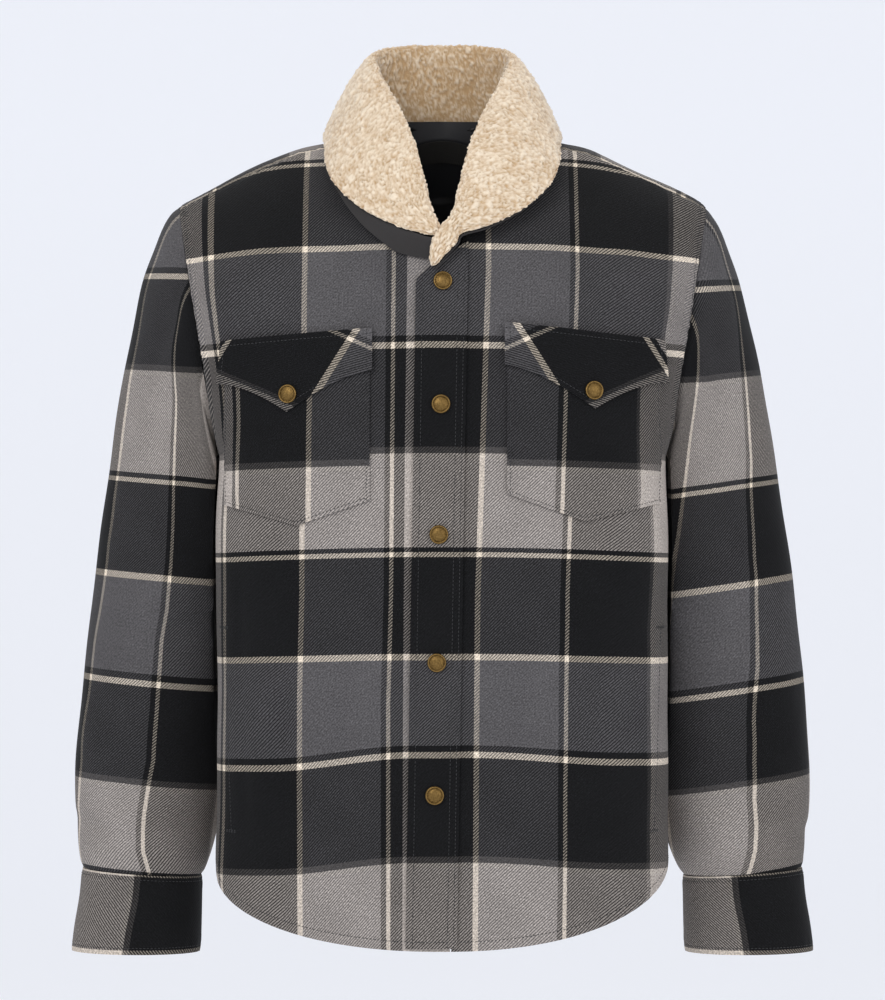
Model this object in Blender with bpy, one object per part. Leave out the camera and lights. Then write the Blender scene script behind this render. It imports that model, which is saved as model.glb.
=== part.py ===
"""A plaid snap-front shirt jacket with a fleece shawl collar, hollow as worn. Metres, +Z up, front at -Y.

The origin is the middle of the neck's base, where a wearer's neck and shoulders hold the garment.
"""

import math

import bmesh
import bpy
import numpy as np

# Cloth walls and the clearances between pieces
WALL = 0.0024
COLLAR_SKIN = 0.0015
LINING_WALL = 0.0010
LABEL_WALL = 0.0006
LABEL_SHARE = 0.62
SEAM_GAP = 0.0004
LAYER_GAP = 0.0008

# Armhole: an ellipse in one leaning plane, from the shoulder tip to the underarm
TIP_X = 0.2376
TIP_Z = -0.0550
UNDERARM_Z = -0.2800
ARMHOLE_LEAN = 0.167
ARMHOLE_Y = 0.0095
ARMHOLE_HALF_DEPTH = 0.0755
ARMHOLE_MID_Z = (TIP_Z + UNDERARM_Z) / 2
ARMHOLE_HALF_HEIGHT = (TIP_Z - UNDERARM_Z) / 2

# Seams round the body
SIDE_SEAM_SLOPE = 0.070
SHOULDER_SEAM_TURN = math.radians(-11.8)
YOKE_SEAM_TURN = math.radians(62.2)
YOKE_SEAM_Z = -0.1150
SHOULDER_SEAM_ROW = 0.036

# The wall's direction along the shoulder seam, on the +X side
SHOULDER_UP = (0.30, 0.0, 1.0)

# The shoulder is rounded up between the collar and its tip: how far, from which share of the width to
# which, and below which level of the front it has died away
SHOULDER_RISE = 0.0070
SHOULDER_RISE_START = 0.38
SHOULDER_RISE_FULL = 0.58
SHOULDER_RISE_ROW = -0.0600
SHOULDER_RISE_POWER = 0.8

# Shirt-tail hem
FRONT_HEM = -0.7143
BACK_HEM = -0.7060
SIDE_HEM = -0.6390
HEM_SWEEP = 0.85

# Neckline
NECK_SIDE_X = 0.0780
NECK_FRONT_ROW = -0.1000
NECK_BACK_ROW = 2.35
NECK_CURVE = 0.80

# Placket: it drifts towards the wearer's right as it goes down
PLACKET_TOP_X = 0.0007
PLACKET_DRIFT = 0.0159
PLACKET_RIGHT = 0.0205
PLACKET_LEFT = 0.0215
PLACKET_TOP = -0.1060
PLACKET_BOTTOM_LIFT = 0.0030
UNDERLAP_RIGHT = 0.0155
UNDERLAP_LEFT = 0.0165

# Chest pockets and their pointed flaps
POCKET_WALL = 0.0018
POCKET_GAP = 0.0014
POCKET_POINT = 0.0200
FLAP_WALL = 0.0022
FLAP_SIDE_DROP = 0.0370
FLAP_POINT_DROP = 0.0670
FLAP_SWEEP = 1.6
FLAP_POINT_SHARE = 0.548
FLAP_FLARE = 0.0030

POCKET_TOP = -0.1880
FLAP_OVERHANG = 0.0025
POCKET_SNAP_RISE = 0.0150
POCKETS = {
    # near_x, far_x, near_top, far_top, near_bottom, far_bottom
    "right": (-0.0632, -0.1900, -0.1700, -0.1800, -0.3195, -0.3240),
    "left": (0.0560, 0.1905, -0.1650, -0.1790, -0.3140, -0.3220),
}

# Rows and columns of the grids; the body's rows lie closer together towards the underarm
FRONT_COLUMNS = 13
BACK_COLUMNS = 9
BODY_LOW_ROWS = 11
ROWS_CLOSE_UP = 0.75
FRONT_HIGH_ROWS = 15
YOKE_SIDE_COLUMNS = 6
YOKE_DEPTH_ROWS = 7
BACK_HIGH_ROWS = 7
PLACKET_GRID = (30, 4)
POCKET_GRID = (9, 11)
FLAP_GRID = (5, 13)
LINING_YOKE_ROWS = 6
COLLAR_STEPS = 2
SLEEVE_SIDES = 20
SNAP_SIDES = 12
HALVINGS = 40

# Sleeves, just clear of the body
SLEEVE_CLEARANCE = 0.0040
CUFF_WALL = 0.0028

# Lining: where it starts in the back's rows and columns, and its gaps to the back, the seam and the yoke
LINING_FIRST_ROW = 1
LINING_TRIM = 3
LINING_GAP = 0.0024
LINING_SEAM_GAP = 0.0055
LINING_YOKE_GAP = 0.0065
LINING_TOP_ROW = 2.42
LABEL_ROWS = 2

# Snaps
SNAP_RADIUS = 0.0083
SNAP_HEIGHT = 0.0034
FRONT_SNAP_HEIGHTS = (-0.1290, -0.2360, -0.3494, -0.4609, -0.5766)
SNAP_PROFILE = (
    # radius and height, as shares of the cap's
    (0.86, 0.00),
    (1.00, 0.35),
    (0.93, 0.80),
    (0.70, 0.62),
    (0.35, 1.00),
)

# Front body: a row for each level, named by its height at the middle. half_width and front are the reach
# to the side and forward, and square is how full the quarter outline is. Above the underarm the armhole
# sets the half width, so it is left at 0 there.
FRONT_ROWS = (
    # row, half_width, front, square
    (-0.7143, 0.2025, -0.1180, 2.6),
    (-0.6000, 0.2025, -0.1240, 2.6),
    (-0.4500, 0.2020, -0.1300, 2.8),
    (-0.3500, 0.2025, -0.1350, 3.3),
    (-0.2800, 0.2000, -0.1360, 3.2),
    (-0.2250, 0.0, -0.1350, 2.5),
    (-0.1650, 0.0, -0.1300, 2.2),
    (-0.1100, 0.0, -0.1200, 2.0),
    (-0.0550, 0.0, -0.0980, 1.7),
    (-0.0100, 0.0, -0.0680, 1.4),
    (SHOULDER_SEAM_ROW, 0.0, -0.0340, 1.0),
)
# Back body below the yoke: the same columns, with the reach backward and one roundness
BACK_SQUARE = 2.4
BACK_ROWS = (
    # row, half_width, back
    (-0.7143, 0.2025, 0.1000),
    (-0.6000, 0.2025, 0.1010),
    (-0.4500, 0.2020, 0.1060),
    (-0.3500, 0.2025, 0.1130),
    (-0.2800, 0.2000, 0.1180),
    (-0.2000, 0.0, 0.1220),
    (YOKE_SEAM_Z, 0.0, 0.1150),
)
# Yoke, from the shoulder seam in front, over the ridge, to its seam behind
YOKE_ROWS = (
    # middle_z, middle_y, square, armhole_turn
    (SHOULDER_SEAM_ROW, -0.0340, 1.0, SHOULDER_SEAM_TURN),
    (0.0470, 0.0100, 1.0, 0.0),
    (0.0400, 0.0500, 1.2, math.radians(25)),
    (-0.0200, 0.0900, 1.8, math.radians(48)),
    (YOKE_SEAM_Z, 0.1150, BACK_SQUARE, YOKE_SEAM_TURN),
)
# Sleeve rings from the armhole to the cuff seam
SLEEVE_RINGS = (
    # outer_x, outer_z, inner_x, inner_z, middle_y, half_depth
    (TIP_X, TIP_Z, 0.2000, UNDERARM_Z, ARMHOLE_Y, ARMHOLE_HALF_DEPTH),
    (0.2495, -0.0720, 0.2005, -0.2860, 0.0130, 0.0760),
    (0.2590, -0.0945, 0.1960, -0.2960, 0.0170, 0.0760),
    (0.2690, -0.1216, 0.1900, -0.3100, 0.0220, 0.0750),
    (0.2780, -0.1604, 0.1840, -0.3280, 0.0280, 0.0730),
    (0.2880, -0.2012, 0.1790, -0.3480, 0.0340, 0.0710),
    (0.2960, -0.2457, 0.1760, -0.3740, 0.0390, 0.0690),
    (0.3032, -0.2940, 0.1750, -0.4020, 0.0430, 0.0670),
    (0.3105, -0.3450, 0.1765, -0.4320, 0.0460, 0.0650),
    (0.3172, -0.3950, 0.1800, -0.4620, 0.0470, 0.0640),
    (0.3232, -0.4450, 0.1840, -0.4940, 0.0475, 0.0625),
    (0.3285, -0.4900, 0.1880, -0.5250, 0.0475, 0.0610),
    (0.3325, -0.5300, 0.1920, -0.5550, 0.0470, 0.0600),
    (0.3345, -0.5650, 0.1960, -0.5830, 0.0465, 0.0580),
    (0.3340, -0.6000, 0.2015, -0.6100, 0.0450, 0.0550),
    (0.3310, -0.6300, 0.2090, -0.6370, 0.0430, 0.0500),
    (0.3275, -0.6530, 0.2185, -0.6600, 0.0420, 0.0450),
)
CUFF_RINGS = (
    (0.3278, -0.6534, 0.2182, -0.6604, 0.0420, 0.0450),
    (0.3300, -0.6780, 0.2185, -0.6820, 0.0415, 0.0455),
    (0.3345, -0.7050, 0.2190, -0.7070, 0.0410, 0.0470),
    (0.3375, -0.7280, 0.2200, -0.7290, 0.0410, 0.0480),
)
# How far the whole collar sits below its stations, so that its seam meets the neckline
COLLAR_SEAT = 0.00145
# Collar stations from the middle of the back to the front end of one side
COLLAR_STATIONS = (
    # seam (x, y, z), roll (x, y, z), edge (x, y, z)
    ((0.000, 0.0660, 0.0260), (0.000, 0.0780, 0.0960), (0.000, 0.1140, 0.0020)),
    ((0.035, 0.0600, 0.0255), (0.038, 0.0700, 0.0955), (0.058, 0.1030, 0.0040)),
    ((0.058, 0.0410, 0.0240), (0.066, 0.0460, 0.0910), (0.093, 0.0680, 0.0070)),
    ((0.068, 0.0100, 0.0200), (0.071, 0.0120, 0.0800), (0.106, 0.0150, 0.0090)),
    ((0.067, -0.0200, 0.0110), (0.063, -0.0230, 0.0590), (0.1055, -0.0310, -0.0020)),
    ((0.057, -0.0490, -0.0080), (0.051, -0.0560, 0.0300), (0.103, -0.0650, -0.0210)),
    ((0.044, -0.0730, -0.0300), (0.040, -0.0860, 0.0000), (0.094, -0.0890, -0.0410)),
    ((0.031, -0.0900, -0.0510), (0.030, -0.1060, -0.0265), (0.071, -0.1090, -0.0630)),
    ((0.018, -0.1030, -0.0700), (0.0185, -0.1220, -0.0520), (0.041, -0.1220, -0.0790)),
    ((0.009, -0.1120, -0.0830), (0.0085, -0.1300, -0.0680), (0.018, -0.1270, -0.0860)),
)
# The folded section, as shares of the way from seam to edge and of the height up to the roll
COLLAR_OUTLINE = (
    # across, up
    (0.00, 0.00),
    (0.01, 0.45),
    (0.08, 0.85),
    (0.26, 1.02),
    (0.52, 0.97),
    (0.80, 0.70),
    (1.02, 0.32),
    (1.06, 0.03),
    (0.84, 0.00),
    (0.62, 0.34),
    (0.44, 0.30),
    (0.34, 0.02),
)
# Places of the under-collar's strip below the fall
UNDERCOLLAR_PLACES = (1.03, 0.94, 0.85)
# The wearer's left end lies on top and runs on down to the placket's corner
COLLAR_LEFT_END = (
    ((0.003, -0.1180, -0.0900), (-0.001, -0.1330, -0.0800), (0.013, -0.1315, -0.0930)),
    ((-0.006, -0.1220, -0.1000), (-0.008, -0.1330, -0.0970), (0.000, -0.1325, -0.1030)),
)
UNDERCOLLAR_TUCK = 0.30
# How far the under-collar shows past the fleece at each station, on the wearer's right
UNDERCOLLAR_SHOW = (0.0, 0.0, 0.0, 0.0, 0.0, 0.0, 0.002, 0.010, 0.014, 0.012)

# Colours (linear), roughness and metallic of each material
FINISHES = {
    "plaid_flannel": ((0.035, 0.036, 0.038), 0.92, 0.0),
    "sherpa_fleece": ((0.76, 0.64, 0.48), 0.95, 0.0),
    "collar_satin": ((0.028, 0.022, 0.020), 0.50, 0.0),
    "quilted_lining": ((0.010, 0.010, 0.011), 0.60, 0.0),
    "label_cloth": ((0.015, 0.014, 0.013), 0.70, 0.0),
    "antique_brass": ((0.28, 0.17, 0.06), 0.35, 1.0),
}


def unit(vectors):
    """Vectors of length one."""
    vectors = np.asarray(vectors, float)
    return vectors / np.linalg.norm(vectors, axis=-1, keepdims=True)


def smooth_rows(rows, column):
    """A smooth function through one column of a table whose first column is the row's place."""
    places = np.array([row[0] for row in rows])
    values = np.array([row[column] for row in rows])
    slopes = np.gradient(values, places)

    def value(place):
        place = np.clip(place, places[0], places[-1])
        k = int(np.clip(np.searchsorted(places, place) - 1, 0, len(places) - 2))
        step = places[k + 1] - places[k]
        s = (place - places[k]) / step
        rise = values[k + 1] - values[k]
        near = slopes[k] * step
        far = slopes[k + 1] * step
        return values[k] + near * s + (3 * rise - 2 * near - far) * s**2 + (near + far - 2 * rise) * s**3

    return value


FRONT_REACH = smooth_rows(FRONT_ROWS, 2)
FRONT_SQUARE = smooth_rows(FRONT_ROWS, 3)
BACK_REACH = smooth_rows(BACK_ROWS, 2)
BODY_HALF_WIDTH = smooth_rows(FRONT_ROWS[:5], 1)


def armhole_plane_x(z):
    """The armhole plane's distance from the middle at a height."""
    return TIP_X + ARMHOLE_LEAN * (z - TIP_Z)


def armhole_point(turn):
    """A point of the armhole on the +X side: turn is 0 at the shoulder tip, positive to the back."""
    z = ARMHOLE_MID_Z + ARMHOLE_HALF_HEIGHT * math.cos(turn)
    y = ARMHOLE_Y + ARMHOLE_HALF_DEPTH * math.sin(turn)
    return np.array([armhole_plane_x(z), y, z])


def side_seam_y(z):
    """How far back the side seam lies at a height."""
    return ARMHOLE_Y + SIDE_SEAM_SLOPE * (z - UNDERARM_Z)


def front_edge(row):
    """The side end of a level of the front: on the side seam, or on the armhole above the underarm."""
    if row <= UNDERARM_Z:
        return np.array([BODY_HALF_WIDTH(row), side_seam_y(row), row])
    part = (row - UNDERARM_Z) / (SHOULDER_SEAM_ROW - UNDERARM_Z)
    return armhole_point(-math.pi + part * (math.pi + SHOULDER_SEAM_TURN))


def eased(share):
    """A share held between 0 and 1 that starts and ends gently."""
    share = min(max(share, 0.0), 1.0)
    return share * share * (3 - 2 * share)


def shoulder_rise(across, weight):
    """How far the shoulder is rounded up at a share of the width."""
    on = eased((abs(across) - SHOULDER_RISE_START) / (SHOULDER_RISE_FULL - SHOULDER_RISE_START))
    bow = max(math.sin(math.pi * min(abs(across), 1.0)), 0.0) ** SHOULDER_RISE_POWER
    return SHOULDER_RISE * weight * on * bow


def front_point(across, row):
    """A point of the front's outer face; across runs from 0 in the middle to 1 at the side."""
    edge = front_edge(row)
    square = max(FRONT_SQUARE(row), 1.0)
    quarter = max(1 - abs(across) ** square, 0.0) ** (1 / square)
    y = edge[1] + (FRONT_REACH(row) - edge[1]) * quarter
    weight = eased((row - SHOULDER_RISE_ROW) / (SHOULDER_SEAM_ROW - SHOULDER_RISE_ROW))
    z = row + (edge[2] - row) * abs(across) + shoulder_rise(across, weight)
    return np.array([across * edge[0], y, z])


def front_at(x, z):
    """The front's outer face at a place seen from the front, found by halving."""
    low, high = FRONT_HEM, SHOULDER_SEAM_ROW
    for _ in range(HALVINGS):
        row = (low + high) / 2
        across = abs(x) / front_edge(row)[0]
        if across < 1 and front_point(across, row)[2] < z:
            low = row
        else:
            high = row
    point = front_point(abs(x) / front_edge(low)[0], low)
    return np.array([x, point[1], z])


def back_edge(row):
    """The side end of a level of the back, and of the yoke seam at its top."""
    if row <= UNDERARM_Z:
        return np.array([BODY_HALF_WIDTH(row), side_seam_y(row), row])
    part = (row - UNDERARM_Z) / (YOKE_SEAM_Z - UNDERARM_Z)
    return armhole_point(math.pi - part * (math.pi - YOKE_SEAM_TURN))


def back_point(across, row):
    """A point of the back's outer face."""
    edge = back_edge(row)
    quarter = max(1 - abs(across) ** BACK_SQUARE, 0.0) ** (1 / BACK_SQUARE)
    y = edge[1] + (BACK_REACH(row) - edge[1]) * quarter
    return np.array([across * edge[0], y, row + (edge[2] - row) * abs(across)])


YOKE_PLACES = [(place,) + row for place, row in enumerate(YOKE_ROWS)]
YOKE_END = len(YOKE_ROWS) - 1
YOKE_RIDGE_PLACE = 1
YOKE_FLAT_PLACE = 3
YOKE_MIDDLE_Z = smooth_rows(YOKE_PLACES, 1)
YOKE_MIDDLE_Y = smooth_rows(YOKE_PLACES, 2)
YOKE_SQUARE = smooth_rows(YOKE_PLACES, 3)
YOKE_TURN = smooth_rows(YOKE_PLACES, 4)


def yoke_point(across, place):
    """A point of the yoke's outer face; place is 0 on the shoulder seam and YOKE_END on the seam behind."""
    edge = armhole_point(YOKE_TURN(place))
    square = max(YOKE_SQUARE(place), 1.0)
    quarter = max(1 - abs(across) ** square, 0.0) ** (1 / square)
    y = edge[1] + (YOKE_MIDDLE_Y(place) - edge[1]) * quarter
    middle = YOKE_MIDDLE_Z(place)
    rise = shoulder_rise(across, eased((YOKE_FLAT_PLACE - place) / (YOKE_FLAT_PLACE - YOKE_RIDGE_PLACE)))
    return np.array([across * edge[0], y, middle + (edge[2] - middle) * abs(across) + rise])


def placket_middle(z):
    """The centre front line, which drifts a little as it goes down."""
    return PLACKET_TOP_X + PLACKET_DRIFT * (z - PLACKET_TOP)


def hem_height(across, middle, square):
    """The shirt-tail hem: low in the middle, rising to the side seams."""
    lift = 1 - max(1 - abs(across) ** square, 0.0) ** 0.5
    return middle + (SIDE_HEM - middle) * lift**HEM_SWEEP


def curve_share(count):
    """Shares from 0 to 1 that are close together where a quarter outline turns."""
    turn = np.linspace(0, math.pi / 2, count)
    return np.sin(turn) ** (2 / BACK_SQUARE)


def grid_normals(points, around=False):
    """Unit normals of a grid of points, towards columns x rows."""
    if around:
        padded = np.concatenate([points[:, -1:], points, points[:, :1]], axis=1)
        across = padded[:, 2:] - padded[:, :-2]
    else:
        across = np.gradient(points, axis=1)
    along = np.gradient(points, axis=0)
    return unit(np.cross(across, along))


def add_object(name, points, faces, finish, smooth_angle=40):
    """A closed mesh object with one material, its faces turned outwards."""
    mesh = bpy.data.meshes.new(name)
    mesh.from_pydata([tuple(p) for p in points], [], [tuple(int(i) for i in f) for f in faces])
    work = bmesh.new()
    work.from_mesh(mesh)
    bmesh.ops.recalc_face_normals(work, faces=work.faces)
    if work.calc_volume(signed=True) < 0:
        bmesh.ops.reverse_faces(work, faces=work.faces)
    work.to_mesh(mesh)
    work.free()
    mesh.shade_smooth()
    mesh.set_sharp_from_angle(angle=math.radians(smooth_angle))
    mesh.materials.append(MATERIALS[finish])
    made = bpy.data.objects.new(name, mesh)
    bpy.context.scene.collection.objects.link(made)
    return made


def wall_from(name, outer, wall, finish, outward, around=False, rims=None):
    """A cloth wall: a grid of outer points (rows x columns) and the same grid moved in by the wall.

    outward is a rough direction or point function that says which side is out. rims gives, for a row
    or column of the grid, the direction of the wall at that seam, so that both pieces meet in one plane.
    """
    outer = np.asarray(outer, float)
    rows, columns = outer.shape[:2]
    normals = grid_normals(outer, around)
    if np.sum(normals * outward(outer)) < 0:
        normals = -normals
    for where, directions in rims or ():
        normals[where] = unit(directions)
    inner = outer - wall * normals
    points = np.concatenate([outer.reshape(-1, 3), inner.reshape(-1, 3)])
    half = rows * columns
    faces = []
    spans = columns if around else columns - 1
    for r in range(rows - 1):
        for c in range(spans):
            d = (c + 1) % columns
            quad = [r * columns + c, r * columns + d, (r + 1) * columns + d, (r + 1) * columns + c]
            faces.append(quad)
            faces.append([half + i for i in reversed(quad)])
    for c in range(spans):
        d = (c + 1) % columns
        faces.append([c, half + c, half + d, d])
        last = (rows - 1) * columns
        faces.append([last + d, half + last + d, half + last + c, last + c])
    if not around:
        for r in range(rows - 1):
            low, high = r * columns, (r + 1) * columns
            faces.append([high, half + high, half + low, low])
            low, high = low + columns - 1, high + columns - 1
            faces.append([low, half + low, half + high, high])
    return add_object(name, points, faces, finish)


def capped_rings(name, rings, finish):
    """A closed body from rings of equal count, with a face over each end."""
    rings = np.array(rings)
    rows, columns = rings.shape[:2]
    faces = []
    for r in range(rows - 1):
        for c in range(columns):
            d = (c + 1) % columns
            faces.append([r * columns + c, r * columns + d, (r + 1) * columns + d, (r + 1) * columns + c])
    faces.append(list(range(columns))[::-1])
    faces.append([(rows - 1) * columns + c for c in range(columns)])
    return add_object(name, rings.reshape(-1, 3), faces, finish)


def from_axis(points):
    """Rough outward directions of the body: away from its upright middle line."""
    away = points.copy()
    away[..., 2] = 0
    return away


def up_and_out(points):
    """Rough outward directions over the shoulders."""
    away = points - np.array([0.0, 0.01, -0.2])
    return away


def armhole_directions(points, side):
    """Directions in the armhole's plane, away from its middle."""
    centre = armhole_point(math.pi / 2)
    centre[1] = ARMHOLE_Y
    centre[0] *= side
    away = np.asarray(points) - centre
    plane = unit([1.0 * side, 0.0, -ARMHOLE_LEAN])
    return away - (away @ plane)[..., None] * plane


def shifted_off_armhole(points, side, distance):
    """Points moved off the armhole's plane, outwards for a positive distance."""
    return np.asarray(points) + distance * unit([1.0 * side, 0.0, -ARMHOLE_LEAN])


def mirrored(points, side):
    """Points of the +X side, or of the other side where side is -1."""
    return np.asarray(points) * np.array([side, 1.0, 1.0])


def build_front(name, side, start_x):
    """One front: hem to shoulder seam, from its middle edge and the neckline to side seam and armhole."""
    shares = curve_share(FRONT_COLUMNS)
    lower = np.linspace(0, 1, BODY_LOW_ROWS) ** ROWS_CLOSE_UP
    upper = UNDERARM_Z + (SHOULDER_SEAM_ROW - UNDERARM_Z) * np.linspace(0, 1, FRONT_HIGH_ROWS)[1:]
    grid = []
    for rise in lower:
        line = []
        for share in shares:
            row = FRONT_HEM + rise * (UNDERARM_Z - FRONT_HEM)
            begin = start_x(row) / BODY_HALF_WIDTH(row)
            across = begin + (1 - begin) * share
            hem = hem_height(across, FRONT_HEM, FRONT_ROWS[0][3])
            line.append(front_point(across, hem + rise * (UNDERARM_Z - hem)))
        grid.append(line)
    for row in upper:
        begin = start_x(row) / front_edge(row)[0]
        neck = np.clip((row - NECK_FRONT_ROW) / (SHOULDER_SEAM_ROW - NECK_FRONT_ROW), 0, 1)
        neck_x = NECK_SIDE_X * math.sin(neck * math.pi / 2) ** NECK_CURVE
        begin = max(begin, neck_x / front_edge(row)[0])
        grid.append([front_point(begin + (1 - begin) * share, row) for share in shares])
    grid = np.array(grid)
    first_upper = len(lower)
    grid[:, -1, 1] -= SEAM_GAP / 2
    grid[first_upper - 1:, -1] = shifted_off_armhole(grid[first_upper - 1:, -1], 1, -SEAM_GAP / 2)
    grid[-1, :, 1] -= SEAM_GAP / 2
    rims = (
        ((slice(0, first_upper - 1), -1), [1.0, 0.0, 0.0]),
        ((slice(first_upper - 1, None), -1), armhole_directions(grid[first_upper - 1:, -1], 1)),
        ((-1, slice(0, -1)), SHOULDER_UP),
    )
    rims = [(where, mirrored(value, side)) for where, value in rims]
    return wall_from(name, mirrored(grid, side), WALL, "plaid_flannel", from_axis, rims=rims)


def back_shares():
    """Shares of the back's half width, from one side seam to the other."""
    half = curve_share(BACK_COLUMNS)
    return np.concatenate([-half[:0:-1], half])


def back_grid():
    """The back's outer points, from its shirt-tail hem to the yoke seam."""
    grid = []
    for rise in np.linspace(0, 1, BODY_LOW_ROWS) ** ROWS_CLOSE_UP:
        line = []
        for across in back_shares():
            hem = hem_height(across, BACK_HEM, BACK_SQUARE)
            line.append(back_point(across, hem + rise * (UNDERARM_Z - hem)))
        grid.append(line)
    for row in np.linspace(UNDERARM_Z, YOKE_SEAM_Z, BACK_HIGH_ROWS)[1:]:
        grid.append([back_point(across, row) for across in back_shares()])
    return np.array(grid)


def build_back():
    """The back, from side seam to side seam."""
    grid = back_grid()
    first = BODY_LOW_ROWS - 1
    rims = [((-1, slice(1, -1)), from_axis(grid[-1, 1:-1]))]
    for column, side in ((0, -1), (-1, 1)):
        grid[:, column, 1] += SEAM_GAP / 2
        grid[first:, column] = shifted_off_armhole(grid[first:, column], side, -SEAM_GAP / 2)
        rims.append(((slice(0, first), column), [1.0 * side, 0.0, 0.0]))
        rims.append(((slice(first, None), column), armhole_directions(grid[first:, column], side)))
    grid[-1, :, 2] -= SEAM_GAP / 2
    return wall_from("back", grid, WALL, "plaid_flannel", from_axis, rims=rims)


def neck_edge(share):
    """The yoke's neckline, as (x, yoke place); share runs from -1 at one shoulder seam to 1 at the other."""
    x = NECK_SIDE_X * math.sin(share * math.pi / 2)
    return x, NECK_BACK_ROW * math.cos(share * math.pi / 2)


def yoke_outer_edge():
    """The yoke's armholes and back seam from one shoulder seam to the other, as (across, yoke place)."""
    armhole = [YOKE_END * step / YOKE_SIDE_COLUMNS for step in range(YOKE_SIDE_COLUMNS)]
    edge = [(-1.0, place) for place in armhole]
    edge += [(across, YOKE_END) for across in back_shares()]
    return edge + [(1.0, place) for place in reversed(armhole)]


def build_yoke():
    """The yoke, from the neckline out to the armholes, the shoulder seams and the seam behind."""
    outer_edge = yoke_outer_edge()
    shares = np.linspace(-1, 1, len(outer_edge))
    depth = np.linspace(0, 1, YOKE_DEPTH_ROWS)
    grid = np.zeros((len(depth), len(shares), 3))
    for c, share in enumerate(shares):
        x, place = neck_edge(share)
        edge_across, edge_place = outer_edge[c]
        inner_across = x / armhole_point(YOKE_TURN(place))[0]
        for r, part in enumerate(depth):
            across = inner_across + part * (edge_across - inner_across)
            grid[r, c] = yoke_point(across, place + part * (edge_place - place))
    rims = []
    corner = YOKE_SIDE_COLUMNS
    for column, side in ((0, -1), (-1, 1)):
        grid[:, column, 1] += SEAM_GAP / 2
        rims.append(((slice(0, -1), column), mirrored(SHOULDER_UP, side)))
    for columns, side in ((slice(0, corner + 1), -1), (slice(-corner - 1, None), 1)):
        grid[-1, columns] = shifted_off_armhole(grid[-1, columns], side, -SEAM_GAP / 2)
        rims.append(((-1, columns), armhole_directions(grid[-1, columns], side)))
    grid[-1, corner:-corner, 2] += SEAM_GAP / 2
    inside = slice(corner + 1, -corner - 1)
    rims.append(((-1, inside), from_axis(grid[-1, inside])))
    return wall_from("yoke", grid, WALL, "plaid_flannel", up_and_out, rims=rims)


def body_half_width_at(y, z):
    """How far the body reaches sideways at a depth and height below the underarm."""
    edge = back_edge(z)
    reach = BACK_REACH(z) if y > edge[1] else FRONT_REACH(z)
    square = BACK_SQUARE if y > edge[1] else FRONT_SQUARE(z)
    part = min(abs((y - edge[1]) / (reach - edge[1])), 1.0)
    return edge[0] * (1 - part**square) ** (1 / square)


def ring_points(ring, count):
    """One ring of a sleeve on the +X side, pressed flat where it lies against the body."""
    outer_x, outer_z, inner_x, inner_z, middle_y, half_depth = ring
    centre = np.array([(outer_x + inner_x) / 2, middle_y, (outer_z + inner_z) / 2])
    reach = np.array([(outer_x - inner_x) / 2, 0.0, (outer_z - inner_z) / 2])
    points = []
    for turn in np.linspace(0, 2 * math.pi, count, endpoint=False):
        point = centre + reach * math.cos(turn) + np.array([0.0, half_depth * math.sin(turn), 0.0])
        if point[2] < UNDERARM_Z:
            point[0] = max(point[0], body_half_width_at(point[1], point[2]) + SLEEVE_CLEARANCE)
        points.append(point)
    return points


def build_sleeve(name, side):
    """One sleeve, from the armhole to the cuff seam."""
    grid = np.array([ring_points(ring, SLEEVE_SIDES) for ring in SLEEVE_RINGS])
    grid[0] = shifted_off_armhole(grid[0], 1, SEAM_GAP / 2)
    centre = grid.mean(axis=1, keepdims=True)
    rims = [(end, mirrored(grid[end] - centre[end], side)) for end in (0, -1)]
    middle = mirrored(centre, side)
    return wall_from(
        name, mirrored(grid, side), WALL, "plaid_flannel", lambda p: p - middle, around=True, rims=rims
    )


def build_cuff(name, side):
    """One cuff, below its sleeve."""
    grid = np.array([ring_points(ring, SLEEVE_SIDES) for ring in CUFF_RINGS])
    centre = grid.mean(axis=1, keepdims=True)
    rims = [(0, mirrored(grid[0] - centre[0], side))]
    middle = mirrored(centre, side)
    return wall_from(
        name, mirrored(grid, side), CUFF_WALL, "plaid_flannel", lambda p: p - middle, around=True, rims=rims
    )


def layer_on_front(name, places, wall, lift, finish):
    """A piece that lies on the front: rows of (x, z) places, lifted off the front along its normal."""
    places = np.array(places)
    grid = np.zeros(places.shape[:2] + (3,))
    for index in np.ndindex(places.shape[:2]):
        grid[index] = front_at(*places[index])
    normals = grid_normals(grid)
    if np.sum(normals * from_axis(grid)) < 0:
        normals = -normals
    outer = grid + (lift + wall) * normals
    return wall_from(name, outer, wall, finish, from_axis)


def build_placket():
    """The placket, on the wearer's right front and the edge of the left one."""
    rows, columns = PLACKET_GRID
    places = []
    for z in np.linspace(FRONT_HEM + PLACKET_BOTTOM_LIFT, PLACKET_TOP, rows):
        middle = placket_middle(z)
        places.append([(middle + shift, z) for shift in np.linspace(-PLACKET_RIGHT, PLACKET_LEFT, columns)])
    return layer_on_front("placket", places, WALL, LAYER_GAP, "plaid_flannel")


def build_pocket(name, near_x, far_x, top_z, near_bottom, far_bottom):
    """A patch pocket with a pointed bottom."""
    rows, columns = POCKET_GRID
    places = []
    middle = (near_x + far_x) / 2
    for rise in np.linspace(0, 1, rows):
        line = []
        for x in np.linspace(near_x, far_x, columns):
            part = (x - near_x) / (far_x - near_x)
            bottom = near_bottom + part * (far_bottom - near_bottom)
            bottom -= POCKET_POINT * (1 - abs(x - middle) / abs(far_x - middle))
            line.append((x, bottom + rise * (top_z - bottom)))
        places.append(line)
    return layer_on_front(name, places, POCKET_WALL, POCKET_GAP, "plaid_flannel")


def flap_drop(part):
    """How far a flap hangs below its top edge: least at the sides, most at its point."""
    side = np.interp(part, (0, FLAP_POINT_SHARE, 1), (1, 0, 1))
    return FLAP_SIDE_DROP + (FLAP_POINT_DROP - FLAP_SIDE_DROP) * (1 - side) ** FLAP_SWEEP


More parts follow.
